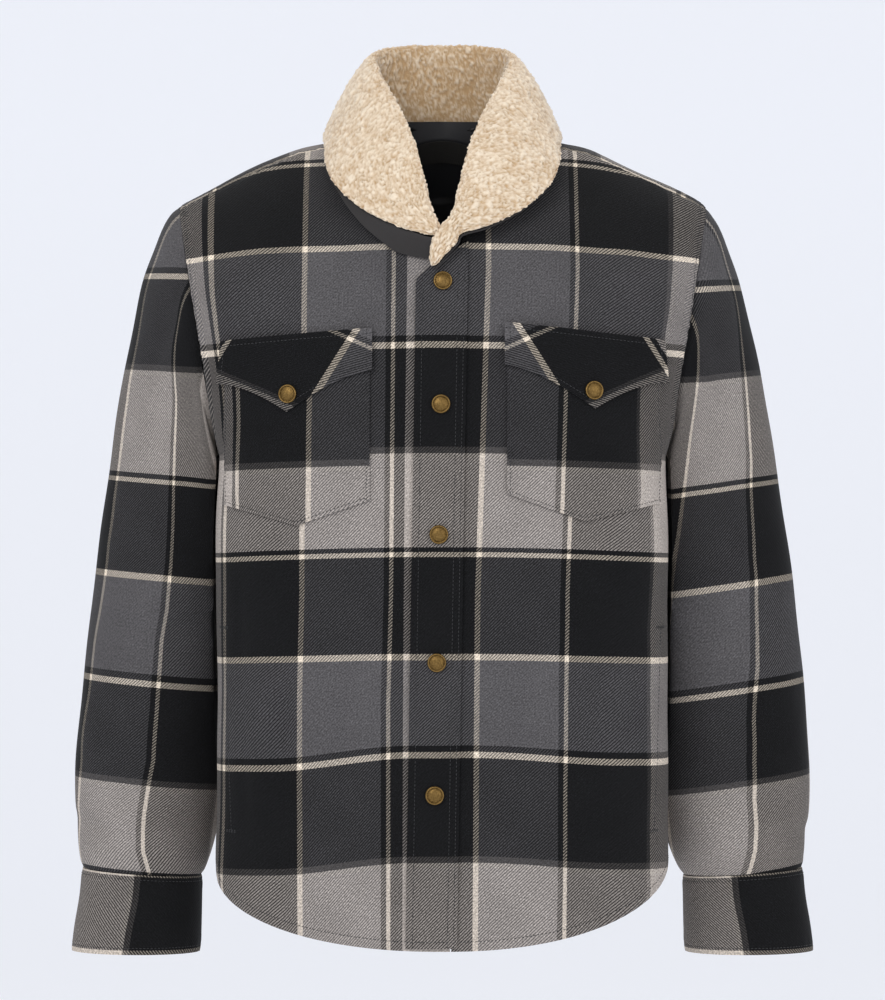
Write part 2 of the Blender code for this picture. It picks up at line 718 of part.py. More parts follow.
def build_flap(name, near_x, far_x, near_top, far_top):
    """A pointed flap over a pocket's mouth."""
    rows, columns = FLAP_GRID
    places = []
    half = (columns + 1) // 2
    near_parts = np.linspace(0, FLAP_POINT_SHARE, half)
    parts = np.append(near_parts, np.linspace(FLAP_POINT_SHARE, 1, columns - half + 1)[1:])
    for drop in np.linspace(1, 0, rows):
        line = []
        for part in parts:
            x = near_x + part * (far_x - near_x) + math.copysign(FLAP_FLARE * part * drop, far_x)
            top = near_top + part * (far_top - near_top)
            line.append((x, top - drop * flap_drop(part)))
        places.append(line)
    lift = POCKET_GAP + POCKET_WALL + LAYER_GAP
    return layer_on_front(name, places, FLAP_WALL, lift, "plaid_flannel")


def build_snap(name, x, z, lift):
    """A domed snap cap with a raised rim, facing out of the cloth below it."""
    seat = front_at(x, z)
    along = front_at(x, z + SNAP_RADIUS) - front_at(x, z - SNAP_RADIUS)
    across = unit(front_at(x + SNAP_RADIUS, z) - front_at(x - SNAP_RADIUS, z))
    out = unit(np.cross(across, along))
    upright = np.cross(out, across)
    seat = seat + (lift + LAYER_GAP / 2) * out
    rings = []
    for radius, height in SNAP_PROFILE:
        ring = []
        for turn in np.linspace(0, 2 * math.pi, SNAP_SIDES, endpoint=False):
            reach = radius * SNAP_RADIUS * (math.cos(turn) * across + math.sin(turn) * upright)
            ring.append(seat + height * SNAP_HEIGHT * out + reach)
        rings.append(ring)
    return capped_rings(name, rings, "antique_brass")


def collar_sections():
    """The collar's stations from the wearer's right front end round the neck to the left one, seated."""
    right = [mirrored(station, -1) for station in COLLAR_STATIONS]
    left = [mirrored(station, 1) for station in COLLAR_STATIONS[1:] + COLLAR_LEFT_END]
    return np.array(right[::-1] + left) - (0.0, 0.0, COLLAR_SEAT)


def refined(points, per_span):
    """Stations with more between them, on a smooth curve through each point."""
    slopes = np.gradient(points, axis=0)
    out = []
    for k in range(len(points) - 1):
        rise = points[k + 1] - points[k]
        for s in np.arange(per_span) / per_span:
            bend = (3 * rise - 2 * slopes[k] - slopes[k + 1]) * s**2
            out.append(points[k] + slopes[k] * s + bend + (slopes[k] + slopes[k + 1] - 2 * rise) * s**3)
    out.append(points[-1])
    return np.array(out)


def collar_loop(seam, roll, edge):
    """One section of the folded collar: up the stand, over the roll, down the fall and back beneath it."""
    lean = roll - (seam + edge) / 2
    return [seam + (edge - seam) * across + lean * up for across, up in COLLAR_OUTLINE]


def build_collar():
    """The fleece shawl collar, one strip folded over round the neck."""
    stations = refined(collar_sections(), COLLAR_STEPS)
    return capped_rings("collar_fleece", [collar_loop(*station) for station in stations], "sherpa_fleece")


def build_undercollar():
    """The smooth under-collar's edge strip, which shows below the fleece on the wearer's right."""
    stations = refined(collar_sections(), COLLAR_STEPS)
    shows = list(UNDERCOLLAR_SHOW[::-1]) + [0.0] * (len(COLLAR_STATIONS) - 1 + len(COLLAR_LEFT_END))
    shows = np.interp(np.arange(len(stations)) / COLLAR_STEPS, np.arange(len(shows)), shows)
    grid = []
    downs = []
    for (seam, roll, edge), show in zip(stations, shows):
        down = -unit(roll - (seam + edge) / 2)
        line = [seam + (edge - seam) * across for across in UNDERCOLLAR_PLACES]
        line[0] = line[0] + np.array([0.0, UNDERCOLLAR_TUCK * show, -show])
        grid.append([point + (LAYER_GAP + COLLAR_SKIN) * down for point in line])
        downs.append([down] * len(line))
    downs = np.array(downs)
    return wall_from("undercollar", grid, COLLAR_SKIN, "collar_satin", lambda points: downs)


def build_lining():
    """The back lining, inside the back and the yoke, as far up as the neckline."""
    grid = list(back_grid()[LINING_FIRST_ROW:, LINING_TRIM:-LINING_TRIM])
    gaps = [LINING_GAP] * (len(grid) - 1) + [LINING_SEAM_GAP]
    for place in np.linspace(YOKE_END, LINING_TOP_ROW, LINING_YOKE_ROWS)[1:]:
        grid.append([yoke_point(across, place) for across in back_shares()[LINING_TRIM:-LINING_TRIM]])
        gaps.append(LINING_YOKE_GAP)
    grid = np.array(grid)
    normals = grid_normals(grid)
    if np.sum(normals * from_axis(grid)) < 0:
        normals = -normals
    outer = grid - (WALL + np.array(gaps)[:, None, None]) * normals
    made = wall_from("lining_back", outer, LINING_WALL, "quilted_lining", from_axis)
    middle = BACK_COLUMNS - 1 - LINING_TRIM
    behind = slice(-LABEL_ROWS, None)
    face = outer[behind] - (LINING_WALL + LAYER_GAP) * normals[behind]
    ends = [face[:, middle] + LABEL_SHARE * (face[:, middle + side] - face[:, middle]) for side in (-1, 1)]
    label = np.stack([ends[0], face[:, middle], ends[1]], axis=1)
    wall_from("neck_label", label, LABEL_WALL, "label_cloth", from_axis)
    return made


def build_materials():
    """One Principled material for each finish."""
    made = {}
    for name, (colour, roughness, metallic) in FINISHES.items():
        material = bpy.data.materials.new(name)
        material.use_nodes = True
        shader = material.node_tree.nodes["Principled BSDF"]
        shader.inputs["Base Color"].default_value = (*colour, 1.0)
        shader.inputs["Roughness"].default_value = roughness
        shader.inputs["Metallic"].default_value = metallic
        made[name] = material
    return made


def main():
    """Builds every piece."""
    build_front("front_right", -1, lambda z: -UNDERLAP_RIGHT - placket_middle(z))
    build_front("front_left", 1, lambda z: placket_middle(z) + UNDERLAP_LEFT)
    build_back()
    build_yoke()
    for name, side in (("right", -1), ("left", 1)):
        build_sleeve(f"sleeve_{name}", side)
        build_cuff(f"cuff_{name}", side)
    build_placket()
    for index, z in enumerate(FRONT_SNAP_HEIGHTS):
        build_snap(f"snap_front_{index + 1}", placket_middle(z), z, WALL + LAYER_GAP)
    for name, sizes in POCKETS.items():
        near_x, far_x, near_top, far_top, near_bottom, far_bottom = sizes
        build_pocket(f"pocket_{name}", near_x, far_x, POCKET_TOP, near_bottom, far_bottom)
        flap_near = near_x - math.copysign(FLAP_OVERHANG, near_x)
        flap_far = far_x + math.copysign(FLAP_OVERHANG, far_x)
        build_flap(f"flap_{name}", flap_near, flap_far, near_top, far_top)
        snap_x = flap_near + FLAP_POINT_SHARE * (flap_far - flap_near)
        snap_z = (near_top + far_top) / 2 - FLAP_POINT_DROP + POCKET_SNAP_RISE
        build_snap(f"snap_pocket_{name}", snap_x, snap_z, POCKET_GAP + POCKET_WALL + LAYER_GAP + FLAP_WALL)
    build_collar()
    build_undercollar()
    build_lining()


for old in list(bpy.data.objects):
    bpy.data.objects.remove(old, do_unlink=True)
MATERIALS = build_materials()
main()
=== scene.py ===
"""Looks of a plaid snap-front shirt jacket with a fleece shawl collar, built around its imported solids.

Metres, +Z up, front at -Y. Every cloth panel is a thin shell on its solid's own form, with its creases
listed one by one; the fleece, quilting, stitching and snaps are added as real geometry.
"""

import logging
import math
from collections.abc import Callable, Sequence
from dataclasses import dataclass, field
from enum import Enum

import bpy
import numpy as np
from mathutils import Matrix, Vector, noise

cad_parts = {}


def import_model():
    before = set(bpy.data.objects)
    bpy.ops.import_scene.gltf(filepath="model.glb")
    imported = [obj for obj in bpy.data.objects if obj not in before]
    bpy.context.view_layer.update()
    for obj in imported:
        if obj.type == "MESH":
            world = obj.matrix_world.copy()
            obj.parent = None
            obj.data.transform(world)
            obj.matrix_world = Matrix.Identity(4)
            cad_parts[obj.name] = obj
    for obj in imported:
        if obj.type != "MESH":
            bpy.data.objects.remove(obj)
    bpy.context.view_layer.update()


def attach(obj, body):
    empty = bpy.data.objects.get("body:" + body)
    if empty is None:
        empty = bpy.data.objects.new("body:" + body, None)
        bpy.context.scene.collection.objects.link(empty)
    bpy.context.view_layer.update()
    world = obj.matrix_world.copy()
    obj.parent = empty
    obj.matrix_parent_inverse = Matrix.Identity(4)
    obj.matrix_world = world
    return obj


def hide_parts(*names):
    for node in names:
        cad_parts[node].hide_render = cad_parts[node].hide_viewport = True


log = logging.getLogger("shirt_jacket")

Table = Sequence[Sequence[float]]
MM = 0.001
BODY = "root"
UV_NAME = "cloth"
TONE_NAME = "tone"


# Small shared helpers


def linear(hex_colour: str) -> tuple[float, float, float, float]:
    """Turns an sRGB hex value into linear light.

    Args:
        hex_colour: six hex digits, such as "1E1E1F".

    Returns:
        Linear red, green, blue and an alpha of one.
    """
    parts = [int(hex_colour[i : i + 2], 16) / 255 for i in (0, 2, 4)]
    red, green, blue = (p / 12.92 if p <= 0.04045 else ((p + 0.055) / 1.055) ** 2.4 for p in parts)
    return red, green, blue, 1.0


def unit(vectors: np.ndarray) -> np.ndarray:
    """Vectors of length one."""
    vectors = np.asarray(vectors, float)
    return vectors / np.maximum(np.linalg.norm(vectors, axis=-1, keepdims=True), 1e-12)


def mirrored(points: np.ndarray, side: int) -> np.ndarray:
    """Points of the +X side, or of the other side where side is -1."""
    return np.asarray(points, float) * np.array([side, 1.0, 1.0])


def smooth_step(low: float, high: float, value: np.ndarray) -> np.ndarray:
    """Rises smoothly from 0 at low to 1 at high."""
    t = np.clip((np.asarray(value, float) - low) / (high - low), 0, 1)
    return t * t * (3 - 2 * t)


def grid_normals(points: np.ndarray, around: bool = False) -> np.ndarray:
    """Unit normals of a grid of points.

    Args:
        points: rows x columns x 3.
        around: whether the columns close on themselves.

    Returns:
        One unit normal for each point.
    """
    if around:
        padded = np.concatenate([points[:, -1:], points, points[:, :1]], axis=1)
        across = padded[:, 2:] - padded[:, :-2]
    else:
        across = np.gradient(points, axis=1)
    along = np.gradient(points, axis=0)
    return unit(np.cross(across, along))


def run_length(points: np.ndarray, axis: int) -> np.ndarray:
    """Length run so far along one axis of a grid, starting at 0.

    Args:
        points: rows x columns x 3.
        axis: 0 to run down the rows, 1 to run across the columns.

    Returns:
        Rows x columns of metres.
    """
    steps = np.linalg.norm(np.diff(points, axis=axis), axis=-1)
    start = np.zeros_like(np.take(points[..., 0], [0], axis=axis))
    return np.concatenate([start, np.cumsum(steps, axis=axis)], axis=axis)


class TableCurve:
    """A smooth curve through one column of a table whose first column is the place."""

    def __init__(self, rows: Table, column: int) -> None:
        """Reads the column.

        Args:
            rows: the table, sorted by its first column.
            column: which column to follow.
        """
        self.places = np.array([row[0] for row in rows], float)
        self.values = np.array([row[column] for row in rows], float)
        self.slopes = np.gradient(self.values, self.places)

    def __call__(self, place: np.ndarray | float) -> np.ndarray:
        """The curve's value at each place."""
        place = np.clip(np.asarray(place, float), self.places[0], self.places[-1])
        k = np.clip(np.searchsorted(self.places, place) - 1, 0, len(self.places) - 2)
        step = self.places[k + 1] - self.places[k]
        s = (place - self.places[k]) / step
        rise = self.values[k + 1] - self.values[k]
        near = self.slopes[k] * step
        far = self.slopes[k + 1] * step
        bend = (3 * rise - 2 * near - far) * s**2 + (near + far - 2 * rise) * s**3
        return self.values[k] + near * s + bend


def spaced(length: float, close: Sequence[float], coarse: float) -> np.ndarray:
    """Shares from 0 to 1 of a length, close together at both ends and even between them.

    Args:
        length: the real length in metres.
        close: distances from each end that get a line of points.
        coarse: spacing of the lines between.

    Returns:
        Sorted shares.
    """
    start, stop = close[-1], length - close[-1]
    count = max(int(round((stop - start) / coarse)), 2)
    middle = np.linspace(start, stop, count + 1)[1:-1]
    ends = np.array(close)
    return np.concatenate([ends, middle, length - ends[::-1]]) / length


# The garment's form, as in its solids


@dataclass(frozen=True)
class BodyForm:
    """The body's outer face: fronts, back and yoke, with the armholes that bound them."""

    tip_x: float = 0.2376
    tip_z: float = -0.0550
    underarm_z: float = -0.2800
    armhole_lean: float = 0.167
    armhole_y: float = 0.0095
    armhole_half_depth: float = 0.0755
    side_seam_slope: float = 0.070
    shoulder_turn: float = math.radians(-11.8)
    yoke_turn: float = math.radians(62.2)
    yoke_seam_z: float = -0.1150
    shoulder_row: float = 0.036
    back_square: float = 2.4
    shoulder_rise: float = 0.0070
    rise_from: tuple[float, float] = (0.38, 0.58)
    rise_rows: tuple[float, float] = (-0.0600, 0.0360)
    rise_power: float = 0.8
    soft_middle: float = 0.12
    front_rows: Table = (
        # row, half_width, front, square
        (-0.7143, 0.2025, -0.1180, 2.6),
        (-0.6000, 0.2025, -0.1240, 2.6),
        (-0.4500, 0.2020, -0.1300, 2.8),
        (-0.3500, 0.2025, -0.1350, 3.3),
        (-0.2800, 0.2000, -0.1360, 3.2),
        (-0.2250, 0.0, -0.1350, 2.5),
        (-0.1650, 0.0, -0.1300, 2.2),
        (-0.1100, 0.0, -0.1200, 2.0),
        (-0.0550, 0.0, -0.0980, 1.7),
        (-0.0100, 0.0, -0.0680, 1.4),
        (0.0360, 0.0, -0.0340, 1.0),
    )
    back_rows: Table = (
        # row, back
        (-0.7143, 0.1000),
        (-0.6000, 0.1010),
        (-0.4500, 0.1060),
        (-0.3500, 0.1130),
        (-0.2800, 0.1180),
        (-0.2000, 0.1220),
        (-0.1150, 0.1150),
    )
    yoke_rows: Table = (
        # place, middle_z, middle_y, square, armhole turn in degrees
        (0, 0.0360, -0.0340, 1.0, -11.8),
        (1, 0.0470, 0.0100, 1.0, 0.0),
        (2, 0.0400, 0.0500, 1.2, 25.0),
        (3, -0.0200, 0.0900, 1.8, 48.0),
        (4, -0.1150, 0.1150, 2.4, 62.2),
    )

    def half_width(self, row: np.ndarray) -> np.ndarray:
        """The side seam's distance from the middle."""
        return TableCurve(self.front_rows[:5], 1)(row)

    def armhole(self, turn: np.ndarray) -> np.ndarray:
        """Points of the armhole on the +X side; turn is 0 at the shoulder tip, positive to the back."""
        turn = np.asarray(turn, float)
        half = (self.tip_z - self.underarm_z) / 2
        z = (self.tip_z + self.underarm_z) / 2 + half * np.cos(turn)
        x = self.tip_x + self.armhole_lean * (z - self.tip_z)
        return np.stack([x, self.armhole_y + self.armhole_half_depth * np.sin(turn), z], axis=-1)

    def side_seam_y(self, z: np.ndarray) -> np.ndarray:
        """How far back the side seam lies at a height."""
        return self.armhole_y + self.side_seam_slope * (z - self.underarm_z)

    def edge(self, row: np.ndarray, top: float, top_turn: float, forward: int) -> np.ndarray:
        """The side end of a level: on the side seam, or on the armhole above the underarm.

        Args:
            row: heights of the level at the middle.
            top: the panel's top row, on the armhole at top_turn.
            top_turn: the armhole's turn at that row.
            forward: -1 for the front, 1 for the back.

        Returns:
            Points, rows x 3.
        """
        row = np.asarray(row, float)
        low = np.stack([self.half_width(row), self.side_seam_y(row), row], axis=-1)
        part = (row - self.underarm_z) / (top - self.underarm_z)
        high = self.armhole(forward * (math.pi - part * (math.pi - abs(top_turn))))
        return np.where((row <= self.underarm_z)[..., None], low, high)

    def quarter(self, across: np.ndarray, edge: np.ndarray, reach: np.ndarray, square: np.ndarray) -> np.ndarray:
        """How far forward or back the outline lies on its way from the middle to the side."""
        share = np.maximum(1 - np.abs(across) ** square, 0.0) ** (1 / square)
        return edge[..., 1] + (reach - edge[..., 1]) * share

    def rounded_shoulder(self, across: np.ndarray, weight: np.ndarray) -> np.ndarray:
        """How far the shoulder is rounded up between the collar and its tip."""
        part = np.minimum(np.abs(across), 1.0)
        bow = np.maximum(np.sin(math.pi * part), 0.0) ** self.rise_power
        return self.shoulder_rise * weight * smooth_step(*self.rise_from, part) * bow

    def front(self, across: np.ndarray, row: np.ndarray) -> np.ndarray:
        """Points of the front's outer face; across runs from 0 in the middle to 1 at the side."""
        across, row = np.broadcast_arrays(np.asarray(across, float), np.asarray(row, float))
        edge = self.edge(row, self.shoulder_row, self.shoulder_turn, -1)
        square = np.maximum(TableCurve(self.front_rows, 3)(row), 1.0)
        y = self.quarter(across, edge, TableCurve(self.front_rows, 2)(row), square)
        rise = self.rounded_shoulder(across, smooth_step(*self.rise_rows, row))
        return np.stack([across * edge[..., 0], y, row + (edge[..., 2] - row) * np.abs(across) + rise], axis=-1)

    def back(self, across: np.ndarray, row: np.ndarray) -> np.ndarray:
        """Points of the back's outer face."""
        across, row = np.broadcast_arrays(np.asarray(across, float), np.asarray(row, float))
        edge = self.edge(row, self.yoke_seam_z, self.yoke_turn, 1)
        y = self.quarter(across, edge, TableCurve(self.back_rows, 1)(row), np.full_like(row, self.back_square))
        return np.stack([across * edge[..., 0], y, row + (edge[..., 2] - row) * np.abs(across)], axis=-1)

    def yoke(self, across: np.ndarray, place: np.ndarray) -> np.ndarray:
        """Points of the yoke's outer face; place is 0 on the shoulder seam and 4 on the seam behind."""
        across, place = np.broadcast_arrays(np.asarray(across, float), np.asarray(place, float))
        edge = self.armhole(np.radians(TableCurve(self.yoke_rows, 4)(place)))
        square = np.maximum(TableCurve(self.yoke_rows, 3)(place), 1.0)
        y = self.quarter(across, edge, TableCurve(self.yoke_rows, 2)(place), square)
        middle = TableCurve(self.yoke_rows, 1)(place)
        part, soft = np.abs(across), self.soft_middle
        part = np.where(part < soft, part**2 / (2 * soft) + soft / 2, part)
        rise = self.rounded_shoulder(across, smooth_step(3, 1, place))
        return np.stack([across * edge[..., 0], y, middle + (edge[..., 2] - middle) * part + rise], axis=-1)

    def front_at(self, x: np.ndarray, z: np.ndarray) -> np.ndarray:
        """The front's outer face at places seen from the front, found by halving.

        Args:
            x: distances from the middle.
            z: heights.

        Returns:
            Points of the same shape, x 3.
        """
        x, z = np.broadcast_arrays(np.asarray(x, float), np.asarray(z, float))
        low = np.full(x.shape, self.front_rows[0][0])
        high = np.full(x.shape, self.shoulder_row)
        for _ in range(30):
            row = (low + high) / 2
            edge = self.edge(row, self.shoulder_row, self.shoulder_turn, -1)
            across = np.abs(x) / edge[..., 0]
            below = (across < 1) & (self.front(np.minimum(across, 1), row)[..., 2] < z)
            low = np.where(below, row, low)
            high = np.where(below, high, row)
        edge = self.edge(low, self.shoulder_row, self.shoulder_turn, -1)
        y = self.front(np.minimum(np.abs(x) / edge[..., 0], 1), low)[..., 1]
        return np.stack([x, y, z], axis=-1)

    def reach_sideways(self, y: np.ndarray, z: np.ndarray) -> np.ndarray:
        """How far the body reaches sideways at a depth and height below the underarm."""
        edge = self.edge(z, self.yoke_seam_z, self.yoke_turn, 1)
        behind = y > edge[..., 1]
        reach = np.where(behind, TableCurve(self.back_rows, 1)(z), TableCurve(self.front_rows, 2)(z))
        square = np.where(behind, self.back_square, TableCurve(self.front_rows, 3)(z))
        part = np.minimum(np.abs((y - edge[..., 1]) / (reach - edge[..., 1])), 1.0)
        return edge[..., 0] * (1 - part**square) ** (1 / square)


# Creases


@dataclass(frozen=True)
class Fold:
    """One soft crease along a short bowed line of a panel's own map.

    start and end are places on that map, width is the reach to either side, rise is the height of a
    ridge or, below 0, the depth of a trough, and bow is how far the line bulges at its middle.
    """

    start: tuple[float, float]
    end: tuple[float, float]
    width: float
    rise: float
    bow: float = 0.0

    def lift(self, places: np.ndarray) -> np.ndarray:
        """How far this crease moves the cloth out at each place of the map."""
        start = np.array(self.start)
        way = np.array(self.end) - start
        length = np.linalg.norm(way)
        way = way / length
        apart = places - start
        along = apart @ way / length
        inside = np.clip(along, 0, 1)
        off = apart[..., 0] * -way[1] + apart[..., 1] * way[0] - self.bow * 4 * inside * (1 - inside)
        steep = off / self.width * (1 + 0.35 * np.tanh(off / self.width))
        taper = (np.clip(4 * inside * (1 - inside), 0, 1)) ** 0.8
        return self.rise * taper * np.exp(-(steep**2))


@dataclass(frozen=True)
class Waves:
    """Slow uneven swelling of hanging cloth, from a few long waves that don't share a beat."""

    height: float = 0.0008
    seed: float = 0.0

    def lift(self, places: np.ndarray) -> np.ndarray:
        """How far the swelling moves the cloth out at each place of the map."""
        x, z = places[..., 0], places[..., 1]
        s = self.seed
        slow = np.sin(31 * x + 7 * z + s) + 0.8 * np.sin(47 * x - 11 * z + 2.1 * s + 1)
        fine = 0.5 * np.sin(83 * x + 23 * z + 0.7 * s + 2) + 0.4 * np.sin(19 * x + 61 * z + 1.3 * s)
        return self.height * (slow + fine)


# Panels


class Side(Enum):
    """The four sides of a panel's grid."""

    START = "first column"
    END = "last column"
    BOTTOM = "first row"
    TOP = "last row"


@dataclass
class SeamPull:
    """What a sewn edge does to the cloth beside it."""

    side: Side
    dip: float = 0.0012
    dip_width: float = 0.0035
    stitch: float | None = 0.006
    pucker: float = 0.00035
    pucker_width: float = 0.007
    beat: float = 0.0105


@dataclass
class Panel:
    """A cut piece of cloth: a grid of points on its solid's face, with its own map and plaid places."""

    name: str
    grid: np.ndarray
    out: np.ndarray
    places: np.ndarray
    cloth: np.ndarray
    wall: float = 0.0024
    around: bool = False
    rims: list[tuple[object, np.ndarray]] = field(default_factory=list)
    strip: tuple[int, float] | None = None

    def __post_init__(self) -> None:
        """Works out the outward normals and how far each point is from each side."""
        normals = grid_normals(self.grid, self.around)
        if np.sum(normals * self.out) < 0:
            normals = -normals
        self.normals = normals
        across = run_length(self.grid, 1)
        along = run_length(self.grid, 0)
        self.off = {
            Side.START: across,
            Side.END: across[:, -1:] - across,
            Side.BOTTOM: along,
            Side.TOP: along[-1:] - along,
        }

    def crease(self, shapes: Sequence[Fold | Waves], hold: float = 0.012, hold_start: bool = True) -> None:
        """Moves the cloth out by its creases, which die away at the sewn edges.

        Args:
            shapes: folds and waves on the panel's map.
            hold: how far from an edge a crease is held back.
            hold_start: whether the first column is a sewn edge too.
        """
        lift = sum(shape.lift(self.places) for shape in shapes)
        sides = {Side.BOTTOM, Side.TOP} if self.around else set(Side)
        if not hold_start:
            sides.discard(Side.START)
        for side in sorted(sides, key=lambda one: one.value):
            lift = lift * (0.25 + 0.75 * smooth_step(0, hold, self.off[side]))
        self.grid = self.grid + self.normals * lift[..., None]
        self.renew_normals()

    def sew(self, pulls: Sequence[SeamPull]) -> None:
        """Dips the cloth into its seams and puckers it along its stitch lines."""
        lift = np.zeros(self.grid.shape[:2])
        for pull in pulls:
            off = self.off[pull.side]
            run = run_length(self.grid, 0 if pull.side in (Side.START, Side.END) else 1)
            lift -= pull.dip * np.exp(-((off / pull.dip_width) ** 2))
            if pull.stitch is None:
                continue
            beat = 2 * math.pi * run / pull.beat
            uneven = np.sin(beat) + 0.6 * np.sin(0.61 * beat + 1.3) + 0.5 * np.sin(1.57 * beat + 0.4)
            near = np.exp(-(((off - pull.stitch) / pull.pucker_width) ** 2))
            groove = np.exp(-(((off - pull.stitch) / 0.0012) ** 2))
            lift += pull.pucker * uneven * near - 0.00045 * groove
        self.grid = self.grid + self.normals * lift[..., None]
        self.renew_normals()

    def renew_normals(self) -> None:
        """Takes the normals again from the moved grid, with the old ones to say which side is out."""
        normals = grid_normals(self.grid, self.around)
        self.normals = normals if np.sum(normals * self.normals) > 0 else -normals

    def line_along(self, side: Side, off: float, start: float = 0.0, stop: float = 1.0) -> tuple[np.ndarray, np.ndarray]:
        """A line on the cloth at a fixed distance from one side.

        Args:
            side: which side to follow.
            off: the distance from it.
            start: share of the side where the line begins.
            stop: share of the side where it ends.

        Returns:
            Points and outward normals along the line.
        """
        distance = self.off[side]
        points, normals = self.grid, self.normals
        if side in (Side.BOTTOM, Side.TOP):
            distance = distance.T
            points = points.transpose(1, 0, 2)
            normals = normals.transpose(1, 0, 2)
        if side in (Side.END, Side.TOP):
            distance, points, normals = distance[:, ::-1], points[:, ::-1], normals[:, ::-1]
        count = len(distance)
        first, last = int(round(start * (count - 1))), int(round(stop * (count - 1)))
        line, outs = [], []
        for k in range(first, last + 1):
            line.append([np.interp(off, distance[k], points[k, :, i]) for i in range(3)])
            outs.append([np.interp(off, distance[k], normals[k, :, i]) for i in range(3)])
        return np.array(line), unit(np.array(outs))

    def build(self, material: bpy.types.Material, slot: str, node: str | None = None) -> bpy.types.Object:
        """Makes the closed shell with its cloth map, and gives it its place in the frame.

        Args:
            material: the cloth.
            slot: not used.
            node: the solid it stands for, when that isn't its own name.

        Returns:
            The finished piece.
        """
        rows, columns = self.grid.shape[:2]
        normals = self.normals.copy()
        for where, directions in self.rims:
            normals[where] = unit(directions)
        inner = self.grid - self.wall * normals
        points = np.concatenate([self.grid.reshape(-1, 3), inner.reshape(-1, 3)])
        places = self.cloth.reshape(-1, 2)
        mapped = self.cloth.shape[1]
        corners = shell_corners(rows, columns, self.around)
        if self.turned():
            corners = corners[:, ::-1]
        layer, row, column = corners[..., 0], corners[..., 1], corners[..., 2]
        quads = layer * rows * columns + row * columns + column % columns
        uvs = places[(row * mapped + np.minimum(column, mapped - 1)).reshape(-1)]
        if self.strip:
            count, shift = self.strip
            banded = np.repeat(column.min(axis=1) < count, 4) & np.repeat(column.max(axis=1) <= count, 4)
            uvs = uvs + banded[:, None] * (shift, 0.0)
        made = mesh_object(self.name, points, quads, material, uvs)
        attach(made, BODY)
        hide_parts(node or self.name)
        log.info("%s: %d faces, %.3f square metres", self.name, len(quads), panel_area(self))
        return made

    def turned(self) -> bool:
        """Whether rows and columns run so that a face's corners have to be reversed to face out."""
        first = self.grid[:-1, :-1]
        facing = np.cross(self.grid[:-1, 1:] - first, self.grid[1:, :-1] - first)
        return bool(np.sum(facing * self.normals[:-1, :-1]) < 0)


def shell_corners(rows: int, columns: int, around: bool) -> np.ndarray:
    """Corners of every face of a closed shell, outer side first.

    Args:
        rows: rows of the grid.
        columns: columns of the grid.
        around: whether the columns close on themselves.

    Returns:
        Faces x 4 corners x (layer, row, column), where a closing column is one past the last.
    """
    spans = columns if around else columns - 1
    r, c = (a.reshape(-1) for a in np.meshgrid(np.arange(rows - 1), np.arange(spans), indexing="ij"))

    def quad(*corners: tuple) -> np.ndarray:
        """Stacks four (layer, row, column) corners."""
        whole = [np.broadcast_arrays(*corner) for corner in corners]
        return np.stack([np.stack(corner, axis=-1) for corner in whole], axis=1)

    faces = [quad((0, r, c), (0, r, c + 1), (0, r + 1, c + 1), (0, r + 1, c))]
    faces.append(quad((1, r + 1, c), (1, r + 1, c + 1), (1, r, c + 1), (1, r, c)))
    k = np.arange(spans)
    last = rows - 1
    faces.append(quad((0, 0, k + 1), (0, 0, k), (1, 0, k), (1, 0, k + 1)))
    faces.append(quad((0, last, k), (0, last, k + 1), (1, last, k + 1), (1, last, k)))
    if not around:
        k = np.arange(rows - 1)
        end = columns - 1
        faces.append(quad((0, k, 0), (0, k + 1, 0), (1, k + 1, 0), (1, k, 0)))
        faces.append(quad((0, k + 1, end), (0, k, end), (1, k, end), (1, k + 1, end)))
    return np.concatenate(faces)


def mesh_object(
    name: str,
    points: np.ndarray,
    faces: Sequence[Sequence[int]] | np.ndarray,
    material: bpy.types.Material,
    uvs: np.ndarray | None = None,
    sharp: float = 50.0,
) -> bpy.types.Object:
    """Makes a mesh object, smooth but for its sharp edges.

    Args:
        name: the piece's name.
        points: its points.
        faces: corners of each face.
        material: its material.
        uvs: a place on the cloth for each corner of each face, in metres.
        sharp: degrees past which an edge stays sharp.

    Returns:
        The object, at the origin.
    """
    mesh = bpy.data.meshes.new(name)
    corners = faces.tolist() if isinstance(faces, np.ndarray) else faces
    mesh.from_pydata(np.asarray(points).tolist(), [], corners)
    mesh.materials.append(material)
    if uvs is not None:
        layer = mesh.uv_layers.new(name=UV_NAME)
        layer.data.foreach_set("uv", np.ascontiguousarray(uvs, np.float32).ravel())
    mesh.shade_smooth()
    mesh.set_sharp_from_angle(angle=math.radians(sharp))
    mesh.update()
    made = bpy.data.objects.new(name, mesh)
    bpy.context.scene.collection.objects.link(made)
    return made


# Materials


def add_node(tree: bpy.types.NodeTree, kind: str, links: dict | None = None, **settings: object) -> bpy.types.Node:
    """Adds one shader node.

    Args:
        tree: the material's node tree.
        kind: the node's type name.
        links: input name or index to the output socket or the value that it gets.
        settings: attributes of the node to set.

    Returns:
        The node.
    """
    made = tree.nodes.new(kind)
    for key, value in settings.items():
        setattr(made, key, value)
    for key, value in (links or {}).items():
        socket = made.inputs[key]
        if isinstance(value, bpy.types.NodeSocket):
            tree.links.new(value, socket)
        else:
            socket.default_value = value
    return made


def fill_ramp(node: bpy.types.Node, stops: Sequence[tuple[float, tuple]], interpolation: str = "LINEAR") -> None:
    """Gives a colour ramp its stops, each a place and a linear colour."""
    ramp = node.color_ramp
    ramp.interpolation = interpolation
    while len(ramp.elements) < len(stops):
        ramp.elements.new(1.0)
    for element, (place, colour) in zip(ramp.elements, stops):
        element.position = place
        element.color = colour


